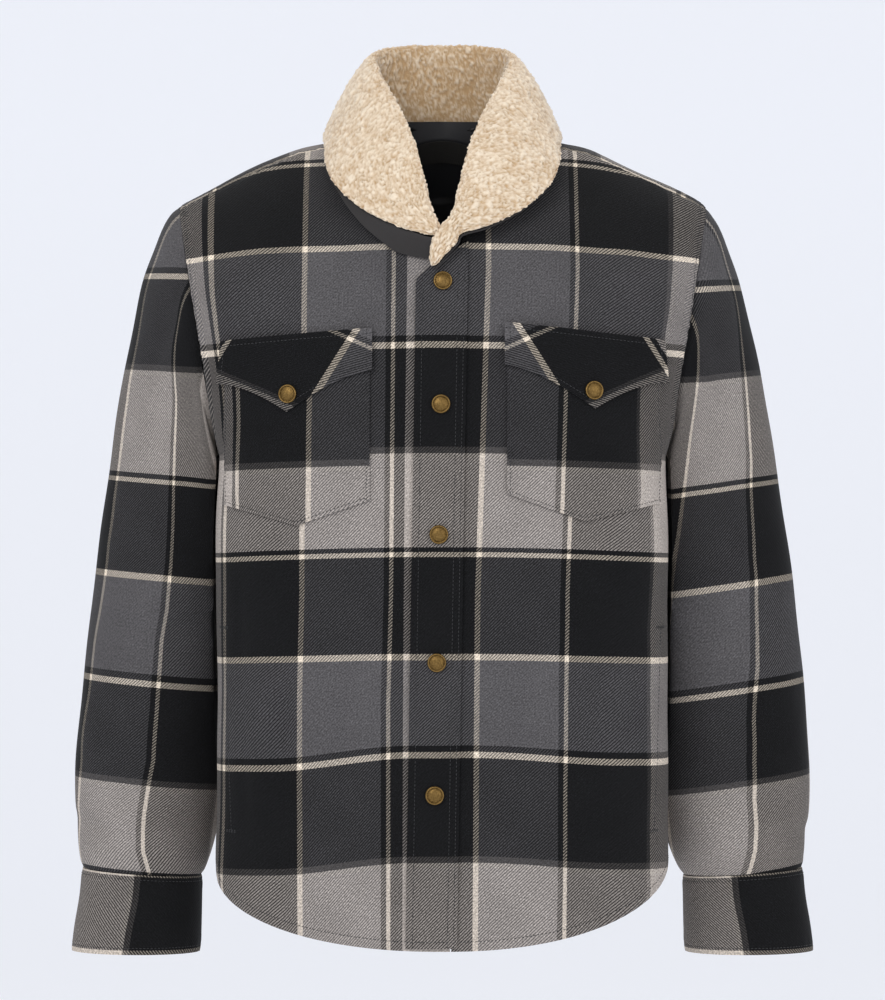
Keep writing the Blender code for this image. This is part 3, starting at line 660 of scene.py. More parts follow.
def shaded(name: str) -> tuple[bpy.types.Material, bpy.types.NodeTree, bpy.types.Node]:
    """A new material with its tree and its main shader."""
    material = bpy.data.materials.new(name)
    material.use_nodes = True
    tree = material.node_tree
    return material, tree, tree.nodes["Principled BSDF"]


class Yarn(Enum):
    """The dyed yarns of the plaid, as sRGB hex values."""

    BLACK = "151516"
    GREY = "565455"
    LIGHT = "B2A9A1"
    PALE = "B8AFA5"
    CREAM = "E2D4C0"
    FUZZY = "403D3B"


@dataclass(frozen=True)
class PlaidFlannel:
    """Brushed wool-blend twill flannel in a large plaid.

    The eye gets broad soft bands crossed by thin cream and black lines, a fine diagonal rib where two
    yarn colours cross, with painted shade in the rib's furrows and where light and dark yarns cross, and a
    matt nap with a little sheen at grazing angles.
    """

    name: str = "brushed_twill_flannel"
    warp: Sequence[tuple[Yarn, float]] = (
        # yarn, width in mm, from the wearer's right to left
        (Yarn.CREAM, 4.1),
        (Yarn.GREY, 69.9),
        (Yarn.BLACK, 4.2),
        (Yarn.CREAM, 4.2),
        (Yarn.BLACK, 67.1),
        (Yarn.FUZZY, 3.5),
        (Yarn.PALE, 4.4),
        (Yarn.LIGHT, 69.0),
        (Yarn.BLACK, 4.6),
        (Yarn.CREAM, 4.4),
        (Yarn.BLACK, 67.0),
    )
    weft: Sequence[tuple[Yarn, float]] = (
        # yarn, width in mm, downwards
        (Yarn.CREAM, 4.9),
        (Yarn.GREY, 77.9),
        (Yarn.BLACK, 5.0),
        (Yarn.CREAM, 5.7),
        (Yarn.BLACK, 85.9),
        (Yarn.FUZZY, 5.4),
        (Yarn.PALE, 5.2),
        (Yarn.LIGHT, 76.4),
        (Yarn.BLACK, 5.1),
        (Yarn.CREAM, 4.7),
        (Yarn.BLACK, 84.6),
    )
    rib_mm: float = 2.05
    nap_mm: float = 1.6
    roughness: float = 0.9

    def bands(self, tree: bpy.types.NodeTree, along: bpy.types.NodeSocket, yarns: Sequence[tuple[Yarn, float]]) -> bpy.types.NodeSocket:
        """Colour of the yarns across one direction of the cloth.

        Args:
            tree: the material's node tree.
            along: distance in metres in that direction.
            yarns: the bands and their widths in mm.

        Returns:
            The colour socket.
        """
        repeat = sum(width for _, width in yarns)
        share = add_node(tree, "ShaderNodeMath", {0: along, 1: 1 / (repeat * MM)}, operation="MULTIPLY")
        wrapped = add_node(tree, "ShaderNodeMath", {0: share.outputs[0]}, operation="FRACT")
        ramp = add_node(tree, "ShaderNodeValToRGB", {0: wrapped.outputs[0]})
        place = 0.0
        stops = []
        for yarn, width in yarns:
            stops.append((place / repeat, linear(yarn.value)))
            place += width
        fill_ramp(ramp, stops, "CONSTANT")
        return ramp.outputs["Color"]

    def make(self) -> bpy.types.Material:
        """Builds the cloth's material, which reads the cloth map in metres."""
        material, tree, shader = shaded(self.name)
        uv = add_node(tree, "ShaderNodeUVMap", uv_map=UV_NAME)
        jitter = add_node(tree, "ShaderNodeTexNoise", {"Vector": uv.outputs[0], "Scale": 900.0, "Detail": 2.0})
        apart = add_node(tree, "ShaderNodeVectorMath", {0: jitter.outputs["Color"], 1: (0.5, 0.5, 0.5)}, operation="SUBTRACT")
        small = add_node(tree, "ShaderNodeVectorMath", {0: apart.outputs[0], "Scale": 0.0009}, operation="SCALE")
        moved = add_node(tree, "ShaderNodeVectorMath", {0: uv.outputs[0], 1: small.outputs[0]}, operation="ADD")
        apart = add_node(tree, "ShaderNodeSeparateXYZ", {0: moved.outputs[0]})
        warp = self.bands(tree, apart.outputs[0], self.warp)
        down = add_node(tree, "ShaderNodeMath", {0: apart.outputs[1], 1: -1.0}, operation="MULTIPLY")
        weft = self.bands(tree, down.outputs[0], self.weft)
        # The rib reads the plain map, so that it stays crisp where the bands' edges are fuzzy. It is drawn at
        # the coarsest spacing that a heavy twill has, or it would blur away at this size.
        straight = add_node(tree, "ShaderNodeSeparateXYZ", {0: uv.outputs[0]})
        rib = add_node(tree, "ShaderNodeMath", {0: straight.outputs[0], 1: straight.outputs[1]}, operation="SUBTRACT")
        turn = 2 * math.pi / (self.rib_mm * MM * math.sqrt(2))
        phase = add_node(tree, "ShaderNodeMath", {0: rib.outputs[0], 1: turn}, operation="MULTIPLY")
        wave = add_node(tree, "ShaderNodeMath", {0: phase.outputs[0]}, operation="SINE")
        over = add_node(tree, "ShaderNodeMapRange", {0: wave.outputs[0], 1: -0.8, 2: 0.15, 3: 0.16, 4: 0.85})
        # Yarns are averaged as the eye sees brightness, so that a dark yarn keeps its weight beside a light one
        eye = [add_node(tree, "ShaderNodeGamma", {0: socket, 1: 1 / 2.2}) for socket in (warp, weft)]
        mixed = add_node(
            tree,
            "ShaderNodeMix",
            {0: over.outputs[0], 6: eye[0].outputs[0], 7: eye[1].outputs[0]},
            data_type="RGBA",
        )
        fibre = add_node(
            tree, "ShaderNodeTexNoise", {"Vector": uv.outputs[0], "Scale": 1 / (self.nap_mm * MM), "Detail": 3.0}
        )
        cloud = add_node(tree, "ShaderNodeTexNoise", {"Vector": uv.outputs[0], "Scale": 22.0, "Detail": 2.0})
        speckle = add_node(tree, "ShaderNodeMapRange", {0: fibre.outputs[0], 1: 0.25, 2: 0.75, 3: 0.76, 4: 1.24})
        patch = add_node(tree, "ShaderNodeMapRange", {0: cloud.outputs[0], 1: 0.3, 2: 0.7, 3: 0.96, 4: 1.04})
        # Painted shade: where a light and a dark yarn cross, the light one is darkened as though the dark one shades it
        gap = add_node(tree, "ShaderNodeVectorMath", {0: eye[0].outputs[0], 1: eye[1].outputs[0]}, operation="DISTANCE")
        shade = add_node(tree, "ShaderNodeMapRange", {0: gap.outputs["Value"], 1: 0.55, 2: 1.3, 3: 1.0, 4: 0.76})
        # Painted shade: the colour darkens in the furrows between the twill's ribs
        painted_furrow_shade = add_node(tree, "ShaderNodeMapRange", {0: wave.outputs[0], 1: -1.0, 2: -0.3, 3: 0.86, 4: 1.0})
        lit = add_node(tree, "ShaderNodeMath", {0: speckle.outputs[0], 1: painted_furrow_shade.outputs[0]}, operation="MULTIPLY")
        soft = add_node(tree, "ShaderNodeMath", {0: lit.outputs[0], 1: patch.outputs[0]}, operation="MULTIPLY")
        tone = add_node(tree, "ShaderNodeMath", {0: soft.outputs[0], 1: shade.outputs[0]}, operation="MULTIPLY")
        toned = add_node(tree, "ShaderNodeVectorMath", {0: mixed.outputs[2], "Scale": tone.outputs[0]}, operation="SCALE")
        light = add_node(tree, "ShaderNodeGamma", {0: toned.outputs[0], 1: 2.2})
        tree.links.new(light.outputs[0], shader.inputs["Base Color"])
        relief = add_node(tree, "ShaderNodeMath", {0: wave.outputs[0], 1: 0.35}, operation="MULTIPLY")
        nap = add_node(tree, "ShaderNodeMath", {0: relief.outputs[0], 1: fibre.outputs[0]}, operation="ADD")
        bump = add_node(tree, "ShaderNodeBump", {"Strength": 0.35, "Distance": 0.0005, "Height": nap.outputs[0]})
        tree.links.new(bump.outputs[0], shader.inputs["Normal"])
        shader.inputs["Roughness"].default_value = self.roughness
        shader.inputs["Specular IOR Level"].default_value = 0.12
        shader.inputs["Sheen Weight"].default_value = 0.05
        shader.inputs["Sheen Roughness"].default_value = 0.45
        return material


@dataclass(frozen=True)
class SherpaFleece:
    """Curly sherpa fleece of polyester yarn, raised and tumbled.

    The eye gets small matt tufts, cream at their tips, with shade painted tan into the gaps between them.
    """

    name: str = "curly_sherpa_fleece"
    tip: str = "EFDEC5"
    # Painted shade: the tan of the low gaps between tufts
    gap: str = "BC9A6F"
    fibre_mm: float = 0.7

    def make(self) -> bpy.types.Material:
        """Builds the fleece's material, which reads how high each point stands in its tuft to paint shade into the low
        gaps.
        """
        material, tree, shader = shaded(self.name)
        tone = add_node(tree, "ShaderNodeAttribute", attribute_name=TONE_NAME)
        place = add_node(tree, "ShaderNodeTexCoord")
        fibre = add_node(
            tree,
            "ShaderNodeTexNoise",
            {"Vector": place.outputs["Object"], "Scale": 1 / (self.fibre_mm * MM), "Detail": 3.0, "Distortion": 1.2},
        )
        cloud = add_node(tree, "ShaderNodeTexNoise", {"Vector": place.outputs["Object"], "Scale": 60.0})
        some = add_node(tree, "ShaderNodeMapRange", {0: fibre.outputs[0], 1: 0.25, 2: 0.75, 3: -0.16, 4: 0.16})
        more = add_node(tree, "ShaderNodeMapRange", {0: cloud.outputs[0], 1: 0.3, 2: 0.7, 3: -0.10, 4: 0.10})
        sum_one = add_node(tree, "ShaderNodeMath", {0: tone.outputs["Fac"], 1: some.outputs[0]}, operation="ADD")
        sum_two = add_node(tree, "ShaderNodeMath", {0: sum_one.outputs[0], 1: more.outputs[0]}, operation="ADD")
        # Painted shade, tan, in the tuft gaps rising to cream on the tips, with random fibre and patch variation added
        ramp = add_node(tree, "ShaderNodeValToRGB", {0: sum_two.outputs[0]})
        fill_ramp(ramp, [(0.05, linear(self.gap)), (0.75, linear(self.tip))])
        tree.links.new(ramp.outputs[0], shader.inputs["Base Color"])
        bump = add_node(tree, "ShaderNodeBump", {"Strength": 0.7, "Distance": 0.0006, "Height": fibre.outputs[0]})
        tree.links.new(bump.outputs[0], shader.inputs["Normal"])
        shader.inputs["Roughness"].default_value = 0.95
        shader.inputs["Specular IOR Level"].default_value = 0.15
        shader.inputs["Sheen Weight"].default_value = 0.35
        shader.inputs["Sheen Roughness"].default_value = 0.6
        return material


@dataclass(frozen=True)
class FineCloth:
    """A smooth closely woven cloth: satin lining, under-collar twill, label tape or sewing thread.

    The eye gets one dark colour with a fine thread rib and the soft gloss of its finish.
    """

    name: str
    colour: str
    other: str
    roughness: float
    thread_mm: float = 0.6
    sheen: float = 0.1
    relief: float = 0.3

    def make(self) -> bpy.types.Material:
        """Builds the cloth's material, which reads Object coordinates."""
        material, tree, shader = shaded(self.name)
        place = add_node(tree, "ShaderNodeTexCoord")
        noise_node = add_node(
            tree,
            "ShaderNodeTexNoise",
            {"Vector": place.outputs["Object"], "Scale": 1 / (self.thread_mm * MM), "Detail": 3.0},
        )
        ramp = add_node(tree, "ShaderNodeValToRGB", {0: noise_node.outputs[0]})
        fill_ramp(ramp, [(0.35, linear(self.colour)), (0.65, linear(self.other))])
        tree.links.new(ramp.outputs[0], shader.inputs["Base Color"])
        wave = add_node(
            tree,
            "ShaderNodeTexWave",
            {"Vector": place.outputs["Object"], "Scale": 1 / (self.thread_mm * MM * 3), "Distortion": 0.6},
            bands_direction="DIAGONAL",
        )
        bump = add_node(
            tree, "ShaderNodeBump", {"Strength": self.relief, "Distance": 0.0003, "Height": wave.outputs["Fac"]}
        )
        tree.links.new(bump.outputs[0], shader.inputs["Normal"])
        shader.inputs["Roughness"].default_value = self.roughness
        shader.inputs["Specular IOR Level"].default_value = 0.35
        shader.inputs["Sheen Weight"].default_value = self.sheen
        return material


@dataclass(frozen=True)
class AntiqueBrass:
    """Stamped brass, darkened in the hollows and rubbed bright on the rims.

    The eye gets a warm metal whose recesses are brown and whose raised edges catch the light.
    """

    name: str = "antique_brass"
    bright: str = "8E7243"
    dark: str = "3C2B13"

    def make(self) -> bpy.types.Material:
        """Builds the metal, which reads how raised each point is."""
        material, tree, shader = shaded(self.name)
        tone = add_node(tree, "ShaderNodeAttribute", attribute_name=TONE_NAME)
        place = add_node(tree, "ShaderNodeTexCoord")
        tarnish = add_node(tree, "ShaderNodeTexNoise", {"Vector": place.outputs["Object"], "Scale": 700.0, "Detail": 3.0})
        some = add_node(tree, "ShaderNodeMapRange", {0: tarnish.outputs[0], 1: 0.3, 2: 0.7, 3: -0.2, 4: 0.2})
        mixed = add_node(tree, "ShaderNodeMath", {0: tone.outputs["Fac"], 1: some.outputs[0]}, operation="ADD")
        ramp = add_node(tree, "ShaderNodeValToRGB", {0: mixed.outputs[0]})
        fill_ramp(ramp, [(0.1, linear(self.dark)), (0.9, linear(self.bright))])
        tree.links.new(ramp.outputs[0], shader.inputs["Base Color"])
        rough = add_node(tree, "ShaderNodeMapRange", {0: mixed.outputs[0], 1: 0.0, 2: 1.0, 3: 0.58, 4: 0.38})
        tree.links.new(rough.outputs[0], shader.inputs["Roughness"])
        bump = add_node(tree, "ShaderNodeBump", {"Strength": 0.15, "Distance": 0.0002, "Height": tarnish.outputs[0]})
        tree.links.new(bump.outputs[0], shader.inputs["Normal"])
        shader.inputs["Metallic"].default_value = 1.0
        return material


@dataclass(frozen=True)
class Cloths:
    """Every finished material of the jacket."""

    plaid: bpy.types.Material
    fleece: bpy.types.Material
    satin: bpy.types.Material
    lining: bpy.types.Material
    label: bpy.types.Material
    thread: bpy.types.Material
    brass: bpy.types.Material


def make_cloths() -> Cloths:
    """Makes each material once."""
    return Cloths(
        plaid=PlaidFlannel().make(),
        fleece=SherpaFleece().make(),
        satin=FineCloth("undercollar_satin", "1E1B1A", "272322", 0.55, sheen=0.05).make(),
        lining=FineCloth("lining_satin", "0D0D10", "15161A", 0.42).make(),
        label=FineCloth("label_tape", "191816", "23211D", 0.7, thread_mm=0.8).make(),
        thread=FineCloth("sewing_thread", "2A2A2B", "3A3A3B", 0.6, thread_mm=0.3).make(),
        brass=AntiqueBrass().make(),
    )


# Stitching


@dataclass
class Stitching:
    """Rows of lock stitches, each a short thread that dips into the cloth at both ends."""

    name: str
    pitch: float = 0.0034
    share: float = 0.72
    radius: float = 0.00030
    sides: int = 5
    lines: list[tuple[np.ndarray, np.ndarray]] = field(default_factory=list)

    def add(self, line: tuple[np.ndarray, np.ndarray]) -> None:
        """Adds a line of points and outward normals to sew along."""
        self.lines.append(line)

    def build(self, material: bpy.types.Material, slot: str) -> bpy.types.Object:
        """Makes all the stitches as one piece.

        Args:
            material: the thread.
            slot: not used.

        Returns:
            The piece.
        """
        points, faces = [], []
        for line, outs in self.lines:
            run = np.concatenate([[0], np.cumsum(np.linalg.norm(np.diff(line, axis=0), axis=1))])
            count = max(int(run[-1] / self.pitch), 1)
            begins = (np.arange(count) + 0.5) * run[-1] / count
            half = self.share * self.pitch / 2
            for middle in begins:
                at = np.array([middle - half, middle - 0.4 * half, middle + 0.4 * half, middle + half])
                places = np.stack([np.interp(at, run, line[:, i]) for i in range(3)], -1)
                out = unit(np.array([np.interp(middle, run, outs[:, i]) for i in range(3)]))
                self.one(points, faces, places, out)
        made = mesh_object(self.name, points, faces, material, sharp=180)
        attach(made, BODY)
        return made

    def one(self, points: list, faces: list, places: np.ndarray, out: np.ndarray) -> None:
        """Adds one stitch.

        Args:
            points: the piece's points so far.
            faces: the piece's faces so far.
            places: four points along the stitch on the cloth.
            out: the cloth's outward normal there.
        """
        way = unit(places[-1] - places[0])
        across = unit(np.cross(way, out))
        first = len(points)
        rises = (-0.6, 0.75, 0.75, -0.6)
        widths = (0.35, 1.0, 1.0, 0.35)
        turns = 2 * math.pi * np.arange(self.sides) / self.sides
        for place, rise, width in zip(places, rises, widths):
            centre = place + out * self.radius * rise
            for turn in turns:
                points.append(centre + self.radius * width * (math.cos(turn) * across + math.sin(turn) * out))
        n = self.sides
        for ring in range(3):
            for k in range(n):
                a, b = first + ring * n + k, first + ring * n + (k + 1) % n
                faces.append((a, b, b + n, a + n))
        faces.append(tuple(first + k for k in reversed(range(n))))
        faces.append(tuple(first + 3 * n + k for k in range(n)))


# Body


@dataclass
class BodyCloth:
    """The two fronts, the back and the yoke."""

    form: BodyForm
    wall: float = 0.0024
    front_hem: float = -0.7143
    back_hem: float = -0.7060
    side_hem: float = -0.6390
    side_hem_right: float = -0.6500
    hem_sweep: float = 0.85
    neck_side_x: float = 0.0780
    neck_front_row: float = -0.1000
    neck_back_place: float = 2.35
    neck_curve: float = 0.80
    underlap_right: float = 0.0155
    underlap_left: float = 0.0165
    close: Sequence[float] = (0.0, 0.0012, 0.0028, 0.0048, 0.0060, 0.0072, 0.0095, 0.0125)
    coarse: float = 0.0045
    shoulder_droop: float = 0.012
    weft_bow: float = 0.15
    low_rise: float = 0.0035
    low_droop: dict[int, float] = field(default_factory=lambda: {-1: 0.0100, 1: 0.0045})
    side_ease: float = 0.25
    ease_from: float = 0.140
    facing_columns: int = 10
    facing_shift: float = 0.080
    facing_line: Table = (
        # height, distance from the middle of the seam that joins the right front's light facing
        (-0.7143, 0.0350),
        (-0.5000, 0.0344),
        (-0.2600, 0.0326),
        (-0.1200, 0.0309),
    )
    warp_anchors: dict[int, Table] = field(
        default_factory=lambda: {
            # height, distance from the middle of a cream stripe
            -1: ((-0.7000, -0.0500), (-0.4990, -0.0501), (-0.4023, -0.0475), (-0.1160, -0.0453)),
            1: ((-0.7000, 0.0262), (-0.4990, 0.0275), (-0.4023, 0.0283), (-0.1160, 0.0379)),
        }
    )

    def placket_middle(self, z: np.ndarray) -> np.ndarray:
        """The centre front line, which drifts a little as it goes down."""
        return 0.0007 + 0.0159 * (np.asarray(z, float) + 0.1060)

    def hem_height(self, across: np.ndarray, middle: float, square: float) -> np.ndarray:
        """The shirt-tail hem: low in the middle, rising to the side seams."""
        lift = 1 - np.maximum(1 - np.abs(across) ** square, 0.0) ** 0.5
        side_hem = np.where(across < 0, self.side_hem_right, self.side_hem)
        return middle + (side_hem - middle) * lift**self.hem_sweep

    def cross_length(self, across: np.ndarray, row: np.ndarray, face: Callable) -> np.ndarray:
        """Length along a level from the middle to each point, as the weft runs.

        Args:
            across: shares of the level, rows x columns.
            row: the level of each row, rows x 1.
            face: the form's function for that face.

        Returns:
            Metres, rows x columns, with the sign of across.
        """
        fine = np.linspace(0, 1, 160)
        points = face(fine[None, :], row)
        steps = np.hypot(np.diff(points[..., 0], axis=1), np.diff(points[..., 1], axis=1))
        run = np.concatenate([np.zeros((len(points), 1)), np.cumsum(steps, axis=1)], axis=1)
        found = np.stack([np.interp(np.abs(across[k]), fine, run[k]) for k in range(len(across))])
        return np.sign(across) * found

    def down_length(self, z: np.ndarray, reach: TableCurve) -> np.ndarray:
        """Length down the cloth from height 0, which runs longer than the height where the body curves back."""
        heights = np.linspace(self.front_hem - 0.01, 0.06, 500)
        run = np.concatenate([[0], np.cumsum(np.hypot(np.diff(heights), np.diff(reach(heights))))])
        return np.interp(z, heights, run - np.interp(0.0, heights, run))

    def front_panel(self, side: int) -> Panel:
        """One front: hem to shoulder seam, from its middle edge and the neckline to side seam and armhole.

        Args:
            side: -1 for the wearer's right, 1 for the left.

        Returns:
            The panel, still smooth.
        """
        form = self.form
        columns = spaced(0.215, self.close, self.coarse)
        low = spaced(0.4463, self.close, self.coarse)
        low = low[: np.searchsorted(low, 1 - 0.013 / 0.4463)]
        low = np.concatenate([low, np.linspace(low[-1], 1, 5)[1:]])
        high = spaced(0.316, self.close, self.coarse * 0.8)
        high = high[np.searchsorted(high, 0.013 / 0.316) :]

        def middle_edge(row: np.ndarray) -> np.ndarray:
            """Where the front's middle edge lies, measured outwards on this front's own side."""
            middle = self.placket_middle(row)
            return self.underlap_left + middle if side > 0 else -self.underlap_right - middle

        rows, begins = [], []
        for rise in low:
            row = self.front_hem + rise * (form.underarm_z - self.front_hem)
            rows.append((row, rise))
            begins.append(middle_edge(row) / form.half_width(row))
        for rise in high:
            row = form.underarm_z + rise * (form.shoulder_row - form.underarm_z)
            edge = form.edge(row, form.shoulder_row, form.shoulder_turn, -1)[0]
            neck = np.clip((row - self.neck_front_row) / (form.shoulder_row - self.neck_front_row), 0, 1)
            neck_x = self.neck_side_x * math.sin(neck * math.pi / 2) ** self.neck_curve
            rows.append((row, None))
            begins.append(max(middle_edge(row), neck_x) / edge)
        turned = np.sin(columns * math.pi / 2) ** (2 / form.back_square)
        shares = 0.5 * columns + 0.5 * turned
        begin = np.array(begins, float)[:, None]
        across = begin + (1 - begin) * shares[None, :]
        strip = None
        if side < 0:
            heights = np.array([row for row, _ in rows])
            table = np.array(self.facing_line)
            edge_x = form.edge(heights, form.shoulder_row, form.shoulder_turn, -1)[:, 0]
            line = np.interp(heights, table[:, 0], table[:, 1]) / edge_x
            line = np.maximum(line[:, None], begin + 0.003)
            count = self.facing_columns
            near = begin + (line - begin) * np.linspace(0, 1, count + 1)
            far = line + (1 - line) * (shares[count:] - shares[count]) / (1 - shares[count])
            across = np.concatenate([near[:, :-1], far], axis=1)
            strip = (count, self.facing_shift)
        level = np.array([row for row, _ in rows])[:, None] * np.ones_like(across)
        hem = self.hem_height(across * side, self.front_hem, form.front_rows[0][3])
        for k, (_, rise) in enumerate(rows):
            if rise is not None:
                level[k] = hem[k] + rise * (form.underarm_z - hem[k])
        grid = mirrored(form.front(across, level), side)
        out = grid * (1, 1, 0)
        places = grid[..., [0, 2]]
        cloth = self.front_cloth(grid[..., 0], grid[..., 2], side, self.side_ease)
        first = len(low)
        rims = [
            ((slice(0, first - 1), -1), np.array([1.0 * side, 0, 0])),
            ((-1, slice(0, -1)), np.array([0.3 * side, 0, 1.0])),
        ]
        name = "front_left" if side > 0 else "front_right"
        return Panel(name, grid, out, places, cloth, self.wall, rims=rims, strip=strip)

    def front_cloth(self, x: np.ndarray, z: np.ndarray, side: int, ease: float = 0.0) -> np.ndarray:
        """Where places seen from the front lie on the plaid of one front.

        Args:
            x: distances from the middle.
            z: heights.
            side: -1 for the wearer's right front, 1 for the left.
            ease: share by which the cloth is eased in past ease_from.

        Returns:
            Places on the plaid, with the second one upwards.
        """
        form = self.form
        fine = np.linspace(0, 1, 160)
        levels = np.linspace(self.front_hem, form.shoulder_row - 0.002, 90)
        points = form.front(fine[None, :], levels[:, None])
        steps = np.hypot(np.diff(points[..., 0], axis=1), np.diff(points[..., 1], axis=1))
        run = np.concatenate([np.zeros((len(points), 1)), np.cumsum(steps, axis=1)], axis=1)
        row = np.clip((z - levels[0]) / (levels[1] - levels[0]), 0, len(levels) - 1.001)
        k = row.astype(int)
        mix = row - k
        edge = points[:, -1, 0]
        near = np.empty(x.shape)
        for index in np.ndindex(x.shape):
            a, b = k[index], k[index] + 1
            here = abs(x[index])
            low = np.interp(here, points[a, :, 0], run[a]) + max(here - edge[a], 0)
            high = np.interp(here, points[b, :, 0], run[b]) + max(here - edge[b], 0)
            near[index] = low + mix[index] * (high - low)
        near = near - ease * np.maximum(near - self.ease_from, 0)
        anchors = np.array(self.warp_anchors[side])
        anchor = np.interp(z, anchors[:, 0], anchors[:, 1])
        start = 0.0 if side > 0 else 0.0782
        down = self.down_length(z, TableCurve(form.front_rows, 2)) - self.down_length(np.array(-0.4534), TableCurve(form.front_rows, 2))
        droop = self.shoulder_droop * smooth_step(-0.06, 0.03, z + 0.35 * np.abs(x)) * smooth_step(0.10, 0.24, np.abs(x))
        droop = droop - self.low_rise * smooth_step(-0.45, -0.55, z)
        droop = droop + self.low_droop[side] * smooth_step(-0.48, -0.55, z) * smooth_step(0.02, 0.15, np.abs(x))
        return np.stack([np.sign(x) * near - anchor + start, down + self.weft_bow * x**2 + droop], axis=-1)

    def back_panel(self) -> Panel:
        """The back, from side seam to side seam."""
        form = self.form
        half = spaced(0.27, self.close, self.coarse)
        half = half[np.searchsorted(half, 0.05) :]
        half = np.concatenate([[0.0], half])
        half = np.sin(half * math.pi / 2) ** (2 / form.back_square)
        across = np.concatenate([-half[:0:-1], half])[None, :]
        low = spaced(0.435, self.close, self.coarse)
        low = low[: np.searchsorted(low, 1 - 0.013 / 0.435)]
        low = np.concatenate([low, [1.0]])
        high = spaced(0.165, self.close, self.coarse)
        high = high[np.searchsorted(high, 0.013 / 0.165) :]
        hem = self.hem_height(across, self.back_hem, form.back_square)
        levels = [hem[0] + rise * (form.underarm_z - hem[0]) for rise in low]
        levels += [np.full(across.shape[1], form.underarm_z + rise * (form.yoke_seam_z - form.underarm_z)) for rise in high]
        level = np.array(levels)
        across = np.broadcast_to(across, level.shape)
        grid = form.back(across, level)
        u = self.cross_length(across, level.mean(axis=1, keepdims=True), form.back)
        cloth = np.stack([u, grid[..., 2] + (grid[..., 2] - form.underarm_z).clip(0) * 0.02], axis=-1)
        return Panel("back", grid, grid * (1, 1, 0), grid[..., [0, 2]], cloth, self.wall)

    def yoke_panel(self) -> Panel:
        """The yoke, from the neckline out to the armholes, the shoulder seams and the seam behind."""
        form = self.form
        armhole = np.linspace(0, 4, 22)[:-1]
        half = np.sin(np.linspace(0, 1, 40) * math.pi / 2) ** (2 / form.back_square)
        edge = [(-1.0, place) for place in armhole]
        edge += [(a, 4.0) for a in np.concatenate([-half[:0:-1], half])]
        edge += [(1.0, place) for place in armhole[::-1]]
        edge = np.array(edge)
        shares = np.linspace(-1, 1, len(edge))
        depth = spaced(0.15, self.close, 0.0045)[:, None]
        inner_x = self.neck_side_x * np.sin(shares * math.pi / 2)
        inner_place = self.neck_back_place * np.cos(shares * math.pi / 2)
        inner = inner_x / form.armhole(np.radians(TableCurve(form.yoke_rows, 4)(inner_place)))[..., 0]
        across = inner + depth * (edge[:, 0] - inner)
        place = inner_place + depth * (edge[:, 1] - inner_place)
        grid = form.yoke(across, place)
        fine = form.yoke(np.full(200, 0.35), np.linspace(0, 4, 200))
        run = np.concatenate([[0], np.cumsum(np.linalg.norm(np.diff(fine, axis=0), axis=1))])
        down = np.interp(place, np.linspace(0, 4, 200), run)
        cloth = np.stack([grid[..., 0] * 1.08, -down], axis=-1)
        out = grid - np.array([0.0, 0.01, -0.2])
        return Panel("yoke", grid, out, np.stack([grid[..., 0], grid[..., 1]], -1), cloth, self.wall)


